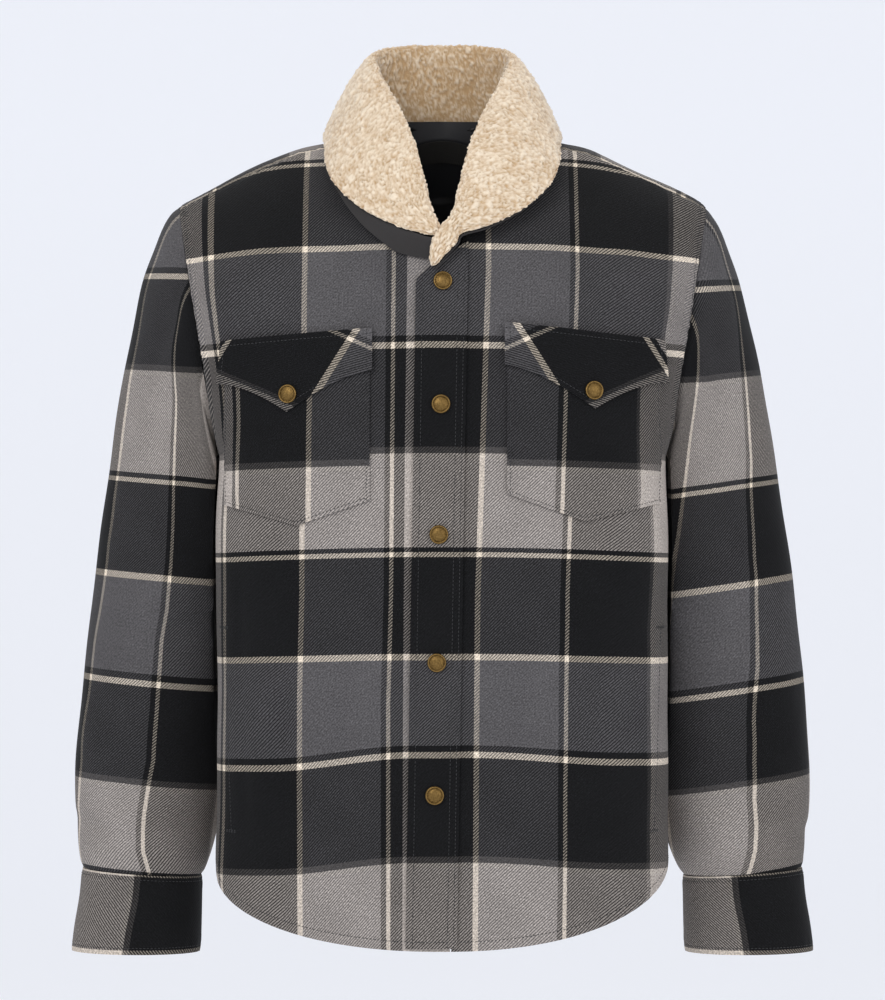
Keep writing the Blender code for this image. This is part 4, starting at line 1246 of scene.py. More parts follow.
@dataclass
class SleeveCloth:
    """One sleeve and its cuff, as rings that lean along the arm."""

    form: BodyForm
    side: int
    wall: float = 0.0024
    cuff_wall: float = 0.0028
    clearance: float = 0.0040
    columns: int = 84
    close: Sequence[float] = (0.0, 0.0012, 0.0028, 0.0048, 0.0060, 0.0072, 0.0095, 0.0125)
    coarse: float = 0.0045
    folds: Sequence[Fold | Waves] = ()
    rings: Table = (
        # outer_x, outer_z, inner_x, inner_z, middle_y, half_depth
        (0.2376, -0.0550, 0.2000, -0.2800, 0.0095, 0.0755),
        (0.2495, -0.0720, 0.2005, -0.2860, 0.0130, 0.0760),
        (0.2590, -0.0945, 0.1960, -0.2960, 0.0170, 0.0760),
        (0.2690, -0.1216, 0.1900, -0.3100, 0.0220, 0.0750),
        (0.2780, -0.1604, 0.1840, -0.3280, 0.0280, 0.0730),
        (0.2880, -0.2012, 0.1790, -0.3480, 0.0340, 0.0710),
        (0.2960, -0.2457, 0.1760, -0.3740, 0.0390, 0.0690),
        (0.3032, -0.2940, 0.1750, -0.4020, 0.0430, 0.0670),
        (0.3105, -0.3450, 0.1765, -0.4320, 0.0460, 0.0650),
        (0.3172, -0.3950, 0.1800, -0.4620, 0.0470, 0.0640),
        (0.3232, -0.4450, 0.1840, -0.4940, 0.0475, 0.0625),
        (0.3285, -0.4900, 0.1880, -0.5250, 0.0475, 0.0610),
        (0.3325, -0.5300, 0.1920, -0.5550, 0.0470, 0.0600),
        (0.3345, -0.5650, 0.1960, -0.5830, 0.0465, 0.0580),
        (0.3340, -0.6000, 0.2015, -0.6100, 0.0450, 0.0550),
        (0.3310, -0.6300, 0.2090, -0.6370, 0.0430, 0.0500),
        (0.3275, -0.6530, 0.2185, -0.6600, 0.0420, 0.0450),
    )
    cuff_rings: Table = (
        (0.3278, -0.6534, 0.2182, -0.6604, 0.0420, 0.0450),
        (0.3300, -0.6780, 0.2185, -0.6820, 0.0415, 0.0455),
        (0.3345, -0.7050, 0.2190, -0.7070, 0.0410, 0.0470),
        (0.3375, -0.7280, 0.2200, -0.7290, 0.0410, 0.0480),
    )
    weft_places: dict[int, Table] = field(
        default_factory=lambda: {
            # height, length down the plaid
            -1: (
                (-0.7300, 0.3480),
                (-0.5749, 0.1848),
                (-0.4817, 0.0881),
                (-0.3894, 0.0024),
                (-0.3016, -0.0897),
                (-0.2048, -0.1760),
                (-0.1188, -0.2727),
                (-0.0300, -0.3620),
            ),
            1: (
                (-0.7300, 0.3440),
                (-0.5766, 0.1848),
                (-0.4898, 0.0881),
                (-0.3984, 0.0024),
                (-0.3087, -0.0897),
                (-0.2129, -0.1760),
                (-0.1313, -0.2727),
                (-0.0300, -0.3730),
            ),
        }
    )
    warp_places: dict[int, Table] = field(
        default_factory=lambda: {
            # height, length round the sleeve from its outer line to a cream stripe
            -1: (
                (-0.6345, 0.0875),
                (-0.5895, 0.0985),
                (-0.5535, 0.1060),
                (-0.4455, 0.1070),
                (-0.4185, 0.1110),
                (-0.3375, 0.1155),
                (-0.2655, 0.1180),
                (-0.2295, 0.1200),
                (-0.1665, 0.1150),
                (-0.0500, 0.1090),
            ),
            1: (
                (-0.6345, 0.0765),
                (-0.5895, 0.0850),
                (-0.5535, 0.0865),
                (-0.5175, 0.0840),
                (-0.4455, 0.0745),
                (-0.3510, 0.0678),
                (-0.2655, 0.0629),
                (-0.2295, 0.0600),
                (-0.1665, 0.0500),
                (-0.1395, 0.0466),
                (-0.0500, 0.0360),
            ),
        }
    )
    stripe_place: float = 0.0803
    inner_ease: float = 0.86
    weft_tilt: dict[int, float] = field(default_factory=lambda: {-1: 0.09, 1: 0.15})

    def ring_grid(self, rings: Table, places: np.ndarray) -> np.ndarray:
        """Points of the sleeve on the +X side, pressed flat where it lies against the body.

        Args:
            rings: the table of rings.
            places: where along the table each row lies.

        Returns:
            Rows x columns x 3, with the first column on the inner side.
        """
        numbered = [(index,) + tuple(ring) for index, ring in enumerate(rings)]
        ox, oz, ix, iz, my, depth = (TableCurve(numbered, k)(places)[:, None] for k in range(1, 7))
        turn = np.linspace(-math.pi, math.pi, self.columns, endpoint=False)[None, :]
        x = (ox + ix) / 2 + (ox - ix) / 2 * np.cos(turn)
        z = (oz + iz) / 2 + (oz - iz) / 2 * np.cos(turn)
        y = my + depth * np.sin(turn)
        near = self.form.reach_sideways(y, z) + self.clearance
        x = np.where(z < self.form.underarm_z, np.maximum(x, near), x)
        return np.stack([x, y, z], axis=-1)

    def even_places(self, rings: Table) -> np.ndarray:
        """Rows at real distances along the tube, close together at its ends."""
        fine = np.linspace(0, len(rings) - 1, 400)
        numbered = [(index,) + tuple(ring) for index, ring in enumerate(rings)]
        middle = np.stack([sum(TableCurve(numbered, k)(fine) for k in (i, i + 2)) / 2 for i in (1, 2)], axis=-1)
        run = np.concatenate([[0], np.cumsum(np.linalg.norm(np.diff(middle, axis=0), axis=1))])
        return np.interp(spaced(run[-1], self.close, self.coarse) * run[-1], run, fine)

    def around_length(self, grid: np.ndarray) -> np.ndarray:
        """Length round each ring from its outer line, below 0 towards the front, with a closing column."""
        closed = np.concatenate([grid, grid[:, :1]], axis=1)
        run = run_length(closed, 1)
        return run - run[:, self.columns // 2 : self.columns // 2 + 1]

    def plaid_place(self, grid: np.ndarray) -> np.ndarray:
        """Where each point lies on the plaid: the grain runs down the arm."""
        around = self.around_length(grid)
        closed = np.concatenate([grid, grid[:, :1]], axis=1)
        x, z = closed[..., 0], closed[..., 2]
        level = z - self.weft_tilt[self.side] * (x - closed[..., 0].mean(axis=1, keepdims=True))
        heights = np.array(self.weft_places[self.side])
        down = np.interp(level, heights[:, 0], heights[:, 1])
        stripes = np.array(self.warp_places[self.side])
        stripe = np.interp(z, stripes[:, 0], stripes[:, 1])
        off = self.side * (around + stripe)
        off = np.where((off < 0) & (self.side > 0), off * self.inner_ease, off)
        return np.stack([off + self.stripe_place, -down], axis=-1)

    def panel(self) -> Panel:
        """The sleeve, from the armhole to the cuff seam, still smooth."""
        grid = self.ring_grid(self.rings, self.even_places(self.rings))
        cloth = self.plaid_place(grid)
        places = np.stack([self.around_length(grid)[:, :-1], grid[..., 2]], axis=-1)
        return self.tube("sleeve", grid, cloth, places, self.wall)

    def cuff(self) -> Panel:
        """The cuff, cut with its grain round the wrist."""
        grid = self.ring_grid(self.cuff_rings, self.even_places(self.cuff_rings))
        around = self.around_length(grid)
        up = grid[..., 2:] .mean(axis=1) + 0.7285
        turned = np.stack([0.004 - up * np.ones_like(around), -(self.cuff_down() - self.side * around)], axis=-1)
        places = np.stack([around[:, :-1], grid[..., 2]], axis=-1)
        return self.tube("cuff", grid, turned, places, self.cuff_wall)

    def cuff_down(self) -> float:
        """Length down the plaid on the cuff's outer line, so that its light stripe ends where the photo has it."""
        return 0.190 + (0.0707 if self.side < 0 else -0.0958)

    def tube(self, kind: str, grid: np.ndarray, cloth: np.ndarray, places: np.ndarray, wall: float) -> Panel:
        """Turns a ring grid into a panel on this side of the body.

        Args:
            kind: "sleeve" or "cuff".
            grid: points on the +X side.
            cloth: places on the plaid.
            places: the panel's own map.
            wall: how thick the cloth is.

        Returns:
            The panel.
        """
        centre = grid.mean(axis=1, keepdims=True)
        name = f"{kind}_{'left' if self.side > 0 else 'right'}"
        out = mirrored(grid - centre, self.side)
        return Panel(name, mirrored(grid, self.side), out, places, cloth, wall, around=True)


# Creases listed one by one, on each panel's own map in metres

FRONT_FOLDS: Sequence[Fold | Waves] = (
    Waves(0.0007, 0.4),
    Fold((-0.212, -0.225), (-0.158, -0.345), 0.014, 0.0021, 0.006),
    Fold((-0.196, -0.300), (-0.184, -0.610), 0.0085, 0.0022, 0.004),
    Fold((-0.180, -0.360), (-0.172, -0.640), 0.0070, -0.0016, -0.003),
    Fold((-0.128, -0.400), (-0.104, -0.690), 0.022, 0.0018, -0.010),
    Fold((-0.080, -0.440), (-0.066, -0.700), 0.016, -0.0014, 0.006),
    Fold((-0.046, -0.150), (-0.070, -0.330), 0.012, -0.0012, 0.004),
    Fold((-0.150, -0.090), (-0.205, -0.150), 0.013, 0.0018, 0.004),
    Fold((0.214, -0.235), (0.150, -0.360), 0.015, 0.0020, -0.007),
    Fold((0.150, -0.085), (0.207, -0.160), 0.014, 0.0017, -0.005),
    Fold((0.190, -0.330), (0.176, -0.430), 0.009, 0.0018, 0.003),
    Fold((0.183, -0.440), (0.174, -0.640), 0.010, 0.0022, 0.004),
    Fold((0.118, -0.380), (0.142, -0.680), 0.024, 0.0019, 0.012),
    Fold((0.070, -0.430), (0.082, -0.705), 0.015, -0.0014, -0.005),
    Fold((0.040, -0.140), (0.062, -0.300), 0.012, -0.0011, -0.003),
    Fold((0.030, -0.640), (0.110, -0.668), 0.012, 0.0012, 0.004),
)
BACK_FOLDS: Sequence[Fold | Waves] = (
    Waves(0.0012, 2.2),
    Fold((-0.110, -0.135), (-0.085, -0.470), 0.019, 0.0028, 0.010),
    Fold((-0.060, -0.150), (-0.052, -0.390), 0.013, -0.0020, -0.005),
    Fold((0.015, -0.130), (0.004, -0.360), 0.017, 0.0020, 0.004),
    Fold((0.072, -0.140), (0.094, -0.520), 0.021, 0.0027, -0.012),
    Fold((0.128, -0.150), (0.118, -0.340), 0.012, -0.0021, 0.006),
    Fold((-0.205, -0.255), (-0.120, -0.355), 0.015, 0.0026, -0.008),
    Fold((0.206, -0.262), (0.132, -0.372), 0.014, 0.0024, 0.009),
    Fold((-0.170, -0.450), (-0.148, -0.660), 0.018, 0.0022, 0.006),
    Fold((-0.020, -0.480), (-0.034, -0.690), 0.020, -0.0018, 0.008),
    Fold((0.040, -0.520), (0.058, -0.695), 0.016, 0.0020, -0.004),
    Fold((0.160, -0.430), (0.172, -0.640), 0.017, 0.0021, -0.006),
)
YOKE_FOLDS: Sequence[Fold | Waves] = (
    Waves(0.0007, 1.1),
    Fold((-0.105, 0.020), (-0.185, 0.045), 0.011, 0.0016, 0.004),
    Fold((0.110, 0.025), (0.190, 0.040), 0.012, 0.0015, -0.004),
    Fold((-0.070, 0.070), (-0.160, 0.085), 0.010, -0.0012, 0.003),
    Fold((0.060, 0.075), (0.150, 0.088), 0.009, 0.0012, -0.002),
)
SLEEVE_FOLDS: dict[int, Sequence[Fold | Waves]] = {
    # places: length round from the outer line, below 0 to the front, then height
    -1: (
        Waves(0.0009, 3.0),
        Fold((-0.135, -0.150), (-0.045, -0.330), 0.015, 0.0024, 0.010),
        Fold((-0.170, -0.385), (-0.060, -0.420), 0.012, 0.0030, 0.008),
        Fold((-0.175, -0.420), (-0.085, -0.452), 0.009, -0.0026, 0.004),
        Fold((-0.165, -0.470), (-0.040, -0.475), 0.013, 0.0025, -0.007),
        Fold((-0.120, -0.330), (-0.030, -0.365), 0.011, 0.0016, 0.005),
        Fold((-0.150, -0.585), (-0.045, -0.618), 0.011, 0.0026, 0.006),
        Fold((-0.090, -0.628), (0.020, -0.605), 0.009, -0.0018, 0.004),
        Fold((-0.020, -0.500), (-0.070, -0.600), 0.013, 0.0018, 0.004),
        Fold((0.040, -0.120), (0.120, -0.260), 0.016, 0.0024, -0.008),
        Fold((0.030, -0.390), (0.150, -0.430), 0.013, 0.0026, 0.009),
        Fold((0.050, -0.450), (0.165, -0.470), 0.010, -0.0022, -0.005),
        Fold((0.020, -0.560), (0.140, -0.610), 0.013, 0.0023, 0.006),
    ),
    1: (
        Waves(0.0009, 4.5),
        Fold((-0.150, -0.165), (-0.050, -0.300), 0.016, 0.0023, -0.009),
        Fold((-0.172, -0.372), (-0.050, -0.398), 0.012, 0.0027, 0.007),
        Fold((-0.168, -0.410), (-0.090, -0.446), 0.009, -0.0024, 0.004),
        Fold((-0.160, -0.455), (-0.030, -0.490), 0.014, 0.0026, 0.008),
        Fold((-0.100, -0.520), (-0.040, -0.585), 0.012, 0.0018, -0.004),
        Fold((-0.155, -0.600), (-0.060, -0.622), 0.010, 0.0025, 0.005),
        Fold((-0.060, -0.632), (0.040, -0.612), 0.009, -0.0018, 0.003),
        Fold((0.050, -0.130), (0.110, -0.280), 0.015, 0.0022, 0.008),
        Fold((0.040, -0.400), (0.160, -0.425), 0.012, 0.0026, -0.008),
        Fold((0.030, -0.460), (0.150, -0.500), 0.013, 0.0022, 0.006),
        Fold((0.050, -0.580), (0.150, -0.605), 0.012, 0.0022, -0.005),
    ),
}


# What lies on the fronts


@dataclass
class FrontLayers:
    """Placket, pockets and flaps, which lie on the fronts and follow their creases."""

    form: BodyForm
    body: BodyCloth
    folds: Sequence[Fold | Waves]
    wall: float = 0.0024
    gap: float = 0.0008
    pocket_wall: float = 0.0018
    pocket_gap: float = 0.0014
    pocket_point: float = 0.0200
    flap_wall: float = 0.0022
    flap_side_drop: float = 0.0370
    flap_point_drop: float = 0.0670
    flap_sweep: float = 1.6
    flap_point_share: float = 0.548
    flap_flare: float = 0.0030
    pocket_top: float = -0.1880
    flap_overhang: float = 0.0025
    snap_rise: float = 0.0150
    placket_right: float = 0.0234
    placket_left: float = 0.0215
    placket_top: float = -0.1060
    corner_z: float = -0.1330
    corner_cut: float = 0.0120
    corner_rise: float = 0.0220
    bottom_lift: float = 0.0030
    slit: Sequence[tuple[float, float]] = ((0.1870, -0.6120), (0.1925, -0.4320))
    bar_half: float = 0.0045
    pockets: dict[str, Sequence[float]] = field(
        default_factory=lambda: {
            # near_x, far_x, near_top, far_top, near_bottom, far_bottom
            "right": (-0.0632, -0.1900, -0.1700, -0.1800, -0.3195, -0.3240),
            "left": (0.0560, 0.1905, -0.1650, -0.1790, -0.3140, -0.3220),
        }
    )

    def lifted(self, x: np.ndarray, z: np.ndarray, lift: float) -> tuple[np.ndarray, np.ndarray]:
        """Points above the creased front.

        Args:
            x: distances from the middle.
            z: heights.
            lift: how far above the front's face.

        Returns:
            Points and outward normals.
        """
        grid = self.form.front_at(x, z)
        normals = grid_normals(grid)
        if np.sum(normals * grid * (1, 1, 0)) < 0:
            normals = -normals
        rise = sum(fold.lift(grid[..., [0, 2]]) for fold in self.folds) + lift
        return grid + rise[..., None] * normals, normals

    def layer(self, name: str, x: np.ndarray, z: np.ndarray, wall: float, lift: float, cloth: np.ndarray) -> Panel:
        """A panel that lies on the front.

        Args:
            name: the piece's name.
            x: distances from the middle, rows x columns.
            z: heights, rows x columns.
            wall: how thick it is.
            lift: how far its inner face stands off the front.
            cloth: places on the plaid.

        Returns:
            The panel.
        """
        grid, normals = self.lifted(x, z, lift + wall)
        return Panel(name, grid, normals, np.stack([x, z], -1), cloth, wall)

    def placket(self) -> Panel:
        """The placket, on the wearer's right front and the edge of the left one."""
        low, high = self.body.front_hem + self.bottom_lift, self.placket_top
        z = low + spaced(high - low, (0.0, 0.0012, 0.003, 0.006), 0.0035)[:, None] * (high - low)
        width = self.placket_right + self.placket_left
        off = spaced(width, (0.0, 0.0012, 0.0028, 0.0048, 0.0060, 0.0072), 0.003)[None, :] * width
        x = self.body.placket_middle(z) - self.placket_right + off
        tuck = np.clip((z - self.corner_z) / (high - self.corner_z), 0, 1) ** 2
        x = x + self.corner_cut * tuck * (1 - off / width)
        z = z + self.corner_rise * smooth_step(self.corner_z, high, z) * (off / width - 0.45)
        return self.layer("placket", x, z, self.wall, self.gap, self.body.front_cloth(x, z, 1))

    def pocket(self, name: str) -> Panel:
        """A patch pocket with a pointed bottom."""
        near, far, _, _, near_bottom, far_bottom = self.pockets[name]
        part = spaced(abs(far - near), (0.0, 0.0012, 0.003, 0.0048, 0.006, 0.0072), 0.004)[None, :]
        part = np.sort(np.append(part, 0.5))[None, :]
        x = near + part * (far - near)
        bottom = near_bottom + part * (far_bottom - near_bottom)
        bottom = bottom - self.pocket_point * (1 - np.abs(2 * part - 1))
        rise = spaced(0.14, (0.0, 0.0012, 0.003, 0.0048, 0.006, 0.0072), 0.004)[:, None]
        z = bottom + rise * (self.pocket_top - bottom)
        x = np.broadcast_to(x, z.shape)
        side = 1 if name == "left" else -1
        cloth = self.body.front_cloth(x, z, side) + (-0.0060 if side < 0 else 0.0078, 0.0104)
        return self.layer(f"pocket_{name}", x, z, self.pocket_wall, self.pocket_gap, cloth)

    def flap_drop(self, part: np.ndarray) -> np.ndarray:
        """How far a flap hangs below its top edge: least at the sides, most at its point."""
        side = np.interp(part, (0, self.flap_point_share, 1), (1, 0, 1))
        return self.flap_side_drop + (self.flap_point_drop - self.flap_side_drop) * (1 - side) ** self.flap_sweep

    def flap(self, name: str) -> Panel:
        """A pointed flap over a pocket's mouth, cut on the bias."""
        near, far, near_top, far_top = self.pockets[name][:4]
        near -= math.copysign(self.flap_overhang, near)
        far += math.copysign(self.flap_overhang, far)
        part = spaced(abs(far - near), (0.0, 0.0012, 0.003, 0.0048, 0.006, 0.0072), 0.0035)
        part = np.sort(np.append(part, self.flap_point_share))[None, :]
        top = near_top + part * (far_top - near_top)
        rise = spaced(0.05, (0.0, 0.0012, 0.003, 0.0048, 0.006, 0.0072), 0.0035)[::-1, None]
        z = top - rise * self.flap_drop(part)
        x = near + part * (far - near) + math.copysign(self.flap_flare, far) * part * rise
        seen = x if name == "right" else -x - 0.007
        down = (seen + 0.0831 - 0.0024) * 0.845 - (z + 0.1768) * 0.534
        over = -(seen + 0.0935) * 0.415 - (z + 0.1733) * 0.91
        cloth = np.stack([over + 0.0806, -down], axis=-1)
        lift = self.pocket_gap + self.pocket_wall + self.gap
        return self.layer(f"flap_{name}", x, z, self.flap_wall, lift, cloth)


    def side_pocket_lines(self, side: int) -> list[tuple[np.ndarray, np.ndarray]]:
        """Stitch lines of the slit pocket in a front's side, with a bar of close stitches at each end.

        Args:
            side: -1 for the wearer's right, 1 for the left.

        Returns:
            Lines of points and outward normals.
        """
        (low_x, low_z), (high_x, high_z) = self.slit
        lines = []
        z = np.linspace(low_z, high_z, 60)[:, None]
        x = side * (low_x + (high_x - low_x) * (z - low_z) / (high_z - low_z)) + np.array([[-0.002, 0.0, 0.002]])
        grid, normals = self.lifted(x, z + 0 * x, 0.0)
        lines.append((grid[:, 1], normals[:, 1]))
        for middle_x, middle_z in self.slit:
            for step in (-0.0009, 0.0, 0.0009):
                x = side * middle_x + np.linspace(-self.bar_half, self.bar_half, 7)[None, :]
                z = middle_z + step + np.array([[-0.002], [0.0], [0.002]])
                grid, normals = self.lifted(x + 0 * z, z + 0 * x, 0.0003)
                lines.append((grid[1], normals[1]))
        return lines

    def snap(self, cap: "SnapCap", model: bpy.types.Object, name: str, x: float, z: float, lift: float) -> None:
        """Sets a snap on the layer there.

        Args:
            cap: the snap's own sizes.
            model: the modelled cap.
            name: the piece's name.
            x: distance from the middle.
            z: height.
            lift: how far the layer's face stands off the front.
        """
        reach = cap.radius
        xs, zs = np.meshgrid([x - reach, x, x + reach], [z - reach, z, z + reach])
        grid, normals = self.lifted(xs, zs, lift + self.gap / 2)
        cap.place(model, name, grid[1, 1], unit(normals[1, 1]))


# Collar


@dataclass
class FleeceCollar:
    """The shawl collar: one fleece strip folded over round the neck, with its satin under-side."""

    seat: float = 0.00145
    tuft: float = 0.0046
    pile: float = 0.0038
    sunk: float = 0.0031
    step_along: float = 0.0016
    step_round: float = 0.0016
    stations: Table = (
        # seam (x, y, z), roll (x, y, z), edge (x, y, z)
        ((0.000, 0.0660, 0.0260), (0.000, 0.0780, 0.0960), (0.000, 0.1140, 0.0020)),
        ((0.035, 0.0600, 0.0255), (0.038, 0.0700, 0.0955), (0.058, 0.1030, 0.0040)),
        ((0.058, 0.0410, 0.0240), (0.066, 0.0460, 0.0910), (0.093, 0.0680, 0.0070)),
        ((0.068, 0.0100, 0.0200), (0.071, 0.0120, 0.0800), (0.106, 0.0150, 0.0090)),
        ((0.067, -0.0200, 0.0110), (0.063, -0.0230, 0.0590), (0.1055, -0.0310, -0.0020)),
        ((0.057, -0.0490, -0.0080), (0.051, -0.0560, 0.0300), (0.103, -0.0650, -0.0210)),
        ((0.044, -0.0730, -0.0300), (0.040, -0.0860, 0.0000), (0.094, -0.0890, -0.0410)),
        ((0.031, -0.0900, -0.0510), (0.030, -0.1060, -0.0265), (0.071, -0.1090, -0.0630)),
        ((0.018, -0.1030, -0.0700), (0.0185, -0.1220, -0.0520), (0.041, -0.1220, -0.0790)),
        ((0.009, -0.1120, -0.0830), (0.0085, -0.1300, -0.0680), (0.018, -0.1270, -0.0860)),
    )
    left_end: Table = (
        ((0.0020, -0.1180, -0.0890), (-0.0035, -0.1330, -0.0840), (0.0130, -0.1315, -0.0945)),
        ((-0.0065, -0.1220, -0.1000), (-0.0095, -0.1335, -0.0980), (0.0020, -0.1330, -0.1060)),
        ((-0.0110, -0.1240, -0.1130), (-0.0120, -0.1340, -0.1125), (-0.0065, -0.1335, -0.1165)),
    )
    right_end: Table = (((0.0005, -0.1160, -0.0865), (0.0000, -0.1310, -0.0805), (0.0060, -0.1300, -0.0890)),)
    inner_shade: float = 0.22
    outline: Table = (
        # across, up, pile
        (0.00, 0.00, 0.3),
        (0.01, 0.45, 1.0),
        (0.08, 0.85, 1.0),
        (0.26, 0.965, 1.0),
        (0.52, 0.925, 1.0),
        (0.80, 0.70, 1.0),
        (1.02, 0.32, 1.0),
        (1.06, 0.03, 0.9),
        (0.84, 0.00, 0.2),
        (0.62, 0.34, 0.0),
        (0.44, 0.30, 0.0),
        (0.34, 0.02, 0.0),
    )
    strip_places: Sequence[float] = (0.97, 0.90, 0.82)
    strip_tuck: float = 0.30
    strip_show: Sequence[float] = (0.0, 0.0, 0.0, 0.0, 0.0, 0.0, 0.001, 0.011, 0.020, 0.0185, 0.0170)

    def all_stations(self) -> np.ndarray:
        """Stations from the wearer's right front end round the neck to the left one."""
        right = [mirrored(np.array(station), -1) for station in tuple(self.stations) + tuple(self.right_end)]
        left = [np.array(station) for station in tuple(self.stations[1:]) + tuple(self.left_end)]
        return np.array(right[::-1] + left) - (0.0, 0.0, self.seat)

    def along(self, places: np.ndarray) -> np.ndarray:
        """Seam, roll and edge points at places along the collar, rows x 3 x 3."""
        stations = self.all_stations()
        flat = [(index,) + tuple(station.ravel()) for index, station in enumerate(stations)]
        return np.stack([TableCurve(flat, k)(places) for k in range(1, 10)], axis=-1).reshape(-1, 3, 3)

    def even_along(self) -> np.ndarray:
        """Places along the collar at an even real spacing on its outer face."""
        fine = np.linspace(0, len(self.all_stations()) - 1, 900)
        points = self.along(fine)
        middle = points[:, 1] * 0.5 + points[:, 2] * 0.5
        run = np.concatenate([[0], np.cumsum(np.linalg.norm(np.diff(middle, axis=0), axis=1))])
        return np.interp(np.linspace(0, run[-1], int(run[-1] / self.step_along)), run, fine)

    def rounded_outline(self, count: int) -> np.ndarray:
        """The folded section as a smooth closed curve of across, up and pile, evenly spaced."""
        corners = np.array(self.outline)
        n = len(corners)
        fine = np.linspace(0, n, 40 * n, endpoint=False)
        k = fine.astype(int)
        s = (fine - k)[:, None]
        before, here, after, beyond = (corners[(k + shift) % n] for shift in (-1, 0, 1, 2))
        curve = 0.5 * (2 * here + (after - before) * s + (2 * before - 5 * here + 4 * after - beyond) * s**2)
        curve += 0.5 * (3 * here - before - 3 * after + beyond) * s**3
        scaled = curve[:, :2] * (0.075, 0.08)
        steps = np.linalg.norm(np.diff(np.concatenate([scaled, scaled[:1]]), axis=0), axis=1)
        run = np.concatenate([[0], np.cumsum(steps)])
        closed = np.concatenate([curve, curve[:1]])
        at = np.linspace(0, run[-1], count, endpoint=False)
        return np.stack([np.interp(at, run, closed[:, i]) for i in range(3)], axis=-1)

    def fleece(self, material: bpy.types.Material) -> bpy.types.Object:
        """Builds the fleece with its tufts as real relief.

        Args:
            material: the fleece.

        Returns:
            The piece.
        """
        places = self.even_along()
        section = self.rounded_outline(150)
        seam, roll, edge = (self.along(places)[:, k][:, None] for k in range(3))
        lean = roll - (seam + edge) / 2
        across, up, pile = (section[None, :, k, None] for k in range(3))
        grid = seam + (edge - seam) * across + lean * up
        grid = self.closed_ends(grid)
        normals = grid_normals(grid, around=True)
        middle = grid.mean(axis=1, keepdims=True)
        if np.sum(normals * (grid - middle)) < 0:
            normals = -normals
        rise, tone = self.tufts(grid)
        grid = grid + normals * (pile * (rise - self.sunk)[..., None])
        # Painted shade: the inner stand, facing into the neck, is darkened towards tan
        inside = smooth_step(0.46, 0.24, section[None, :, 0]) * smooth_step(-0.03, 0.04, grid[..., 1])
        tone = np.clip(tone - self.inner_shade * inside, 0, 1)
        rows, columns = grid.shape[:2]
        r, c = (a.reshape(-1) for a in np.meshgrid(np.arange(rows - 1), np.arange(columns), indexing="ij"))
        d = (c + 1) % columns
        quads = np.stack([r * columns + c, r * columns + d, (r + 1) * columns + d, (r + 1) * columns + c], -1)
        first = grid[:-1, :-1]
        facing = np.cross(grid[:-1, 1:] - first, grid[1:, :-1] - first)
        if np.sum(facing * normals[:-1, :-1]) < 0:
            quads = quads[:, ::-1]
            caps = [list(range(columns)), [(rows - 1) * columns + k for k in range(columns)][::-1]]
        else:
            caps = [list(range(columns))[::-1], [(rows - 1) * columns + k for k in range(columns)]]
        made = mesh_object("collar_fleece", grid.reshape(-1, 3), quads.tolist() + caps, material, sharp=180)
        attribute = made.data.attributes.new(TONE_NAME, "FLOAT", "POINT")
        attribute.data.foreach_set("value", np.ascontiguousarray(tone.reshape(-1), np.float32))
        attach(made, BODY)
        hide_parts("collar_fleece")
        log.info("collar_fleece: %d faces", len(quads))
        return made

    def closed_ends(self, grid: np.ndarray) -> np.ndarray:
        """Rounds the first and last rows in towards their own middles."""
        rows = len(grid)
        reach = 4
        centre = grid.mean(axis=1, keepdims=True)
        k = np.minimum(np.arange(rows), np.arange(rows)[::-1])
        share = np.clip(k / reach, 0, 1)
        size = 0.25 + 0.75 * np.sqrt(1 - (1 - share) ** 2)
        return centre + (grid - centre) * size[:, None, None]

    def tufts(self, grid: np.ndarray) -> tuple[np.ndarray, np.ndarray]:
        """Height of the curly pile at each point, and its tone, low in the gaps to paint shade there.

        Args:
            grid: points of the smooth collar.

        Returns:
            Metres of rise, and tone from 0 in a gap, where the painted shade is deepest, to 1 on a tip.
        """
        flat = grid.reshape(-1, 3)
        rise = np.empty(len(flat))
        for index, point in enumerate(flat.tolist()):
            here = Vector((point[0], point[1], point[2] * 0.78))
            bend = noise.noise_vector(here * 210.0) * (0.75 * self.tuft)
            near, next_near = noise.voronoi((here + bend) / self.tuft)[0][:2]
            curl = min((next_near - near) * 1.5, 1.0)
            small = noise.noise(here * 620.0)
            rise[index] = 0.66 * math.sqrt(max(curl, 0.0)) + 0.30 * small
        rise = rise.reshape(grid.shape[:2])
        return self.pile * rise, np.clip(rise * 1.15 + 0.08, 0, 1)

    def under_strip(self) -> tuple[np.ndarray, np.ndarray]:
        """The satin strip below the fall: its points, and which way is down for each."""
        places = self.even_along()[::3]
        stations = self.along(places)
        shows = list(self.strip_show[::-1]) + [0.0] * (len(self.stations) - 1 + len(self.left_end))
        shows = np.interp(places, np.arange(len(shows)), shows)
        seam, roll, edge = (stations[:, k] for k in range(3))
        down = -unit(roll - (seam + edge) / 2)
        lines = []
        for across in np.interp(np.linspace(0, 2, 13), [0, 1, 2], self.strip_places):
            lines.append(seam + (edge - seam) * across)
        grid = np.stack(lines, axis=1)
        fade = np.linspace(1, 0, 13)[None, :, None] ** 1.5
        drop = np.stack([np.zeros_like(shows), self.strip_tuck * shows, -shows], axis=-1)
        grid = grid + fade * drop[:, None] + 0.0023 * down[:, None]
        return grid, np.broadcast_to(down[:, None], grid.shape)


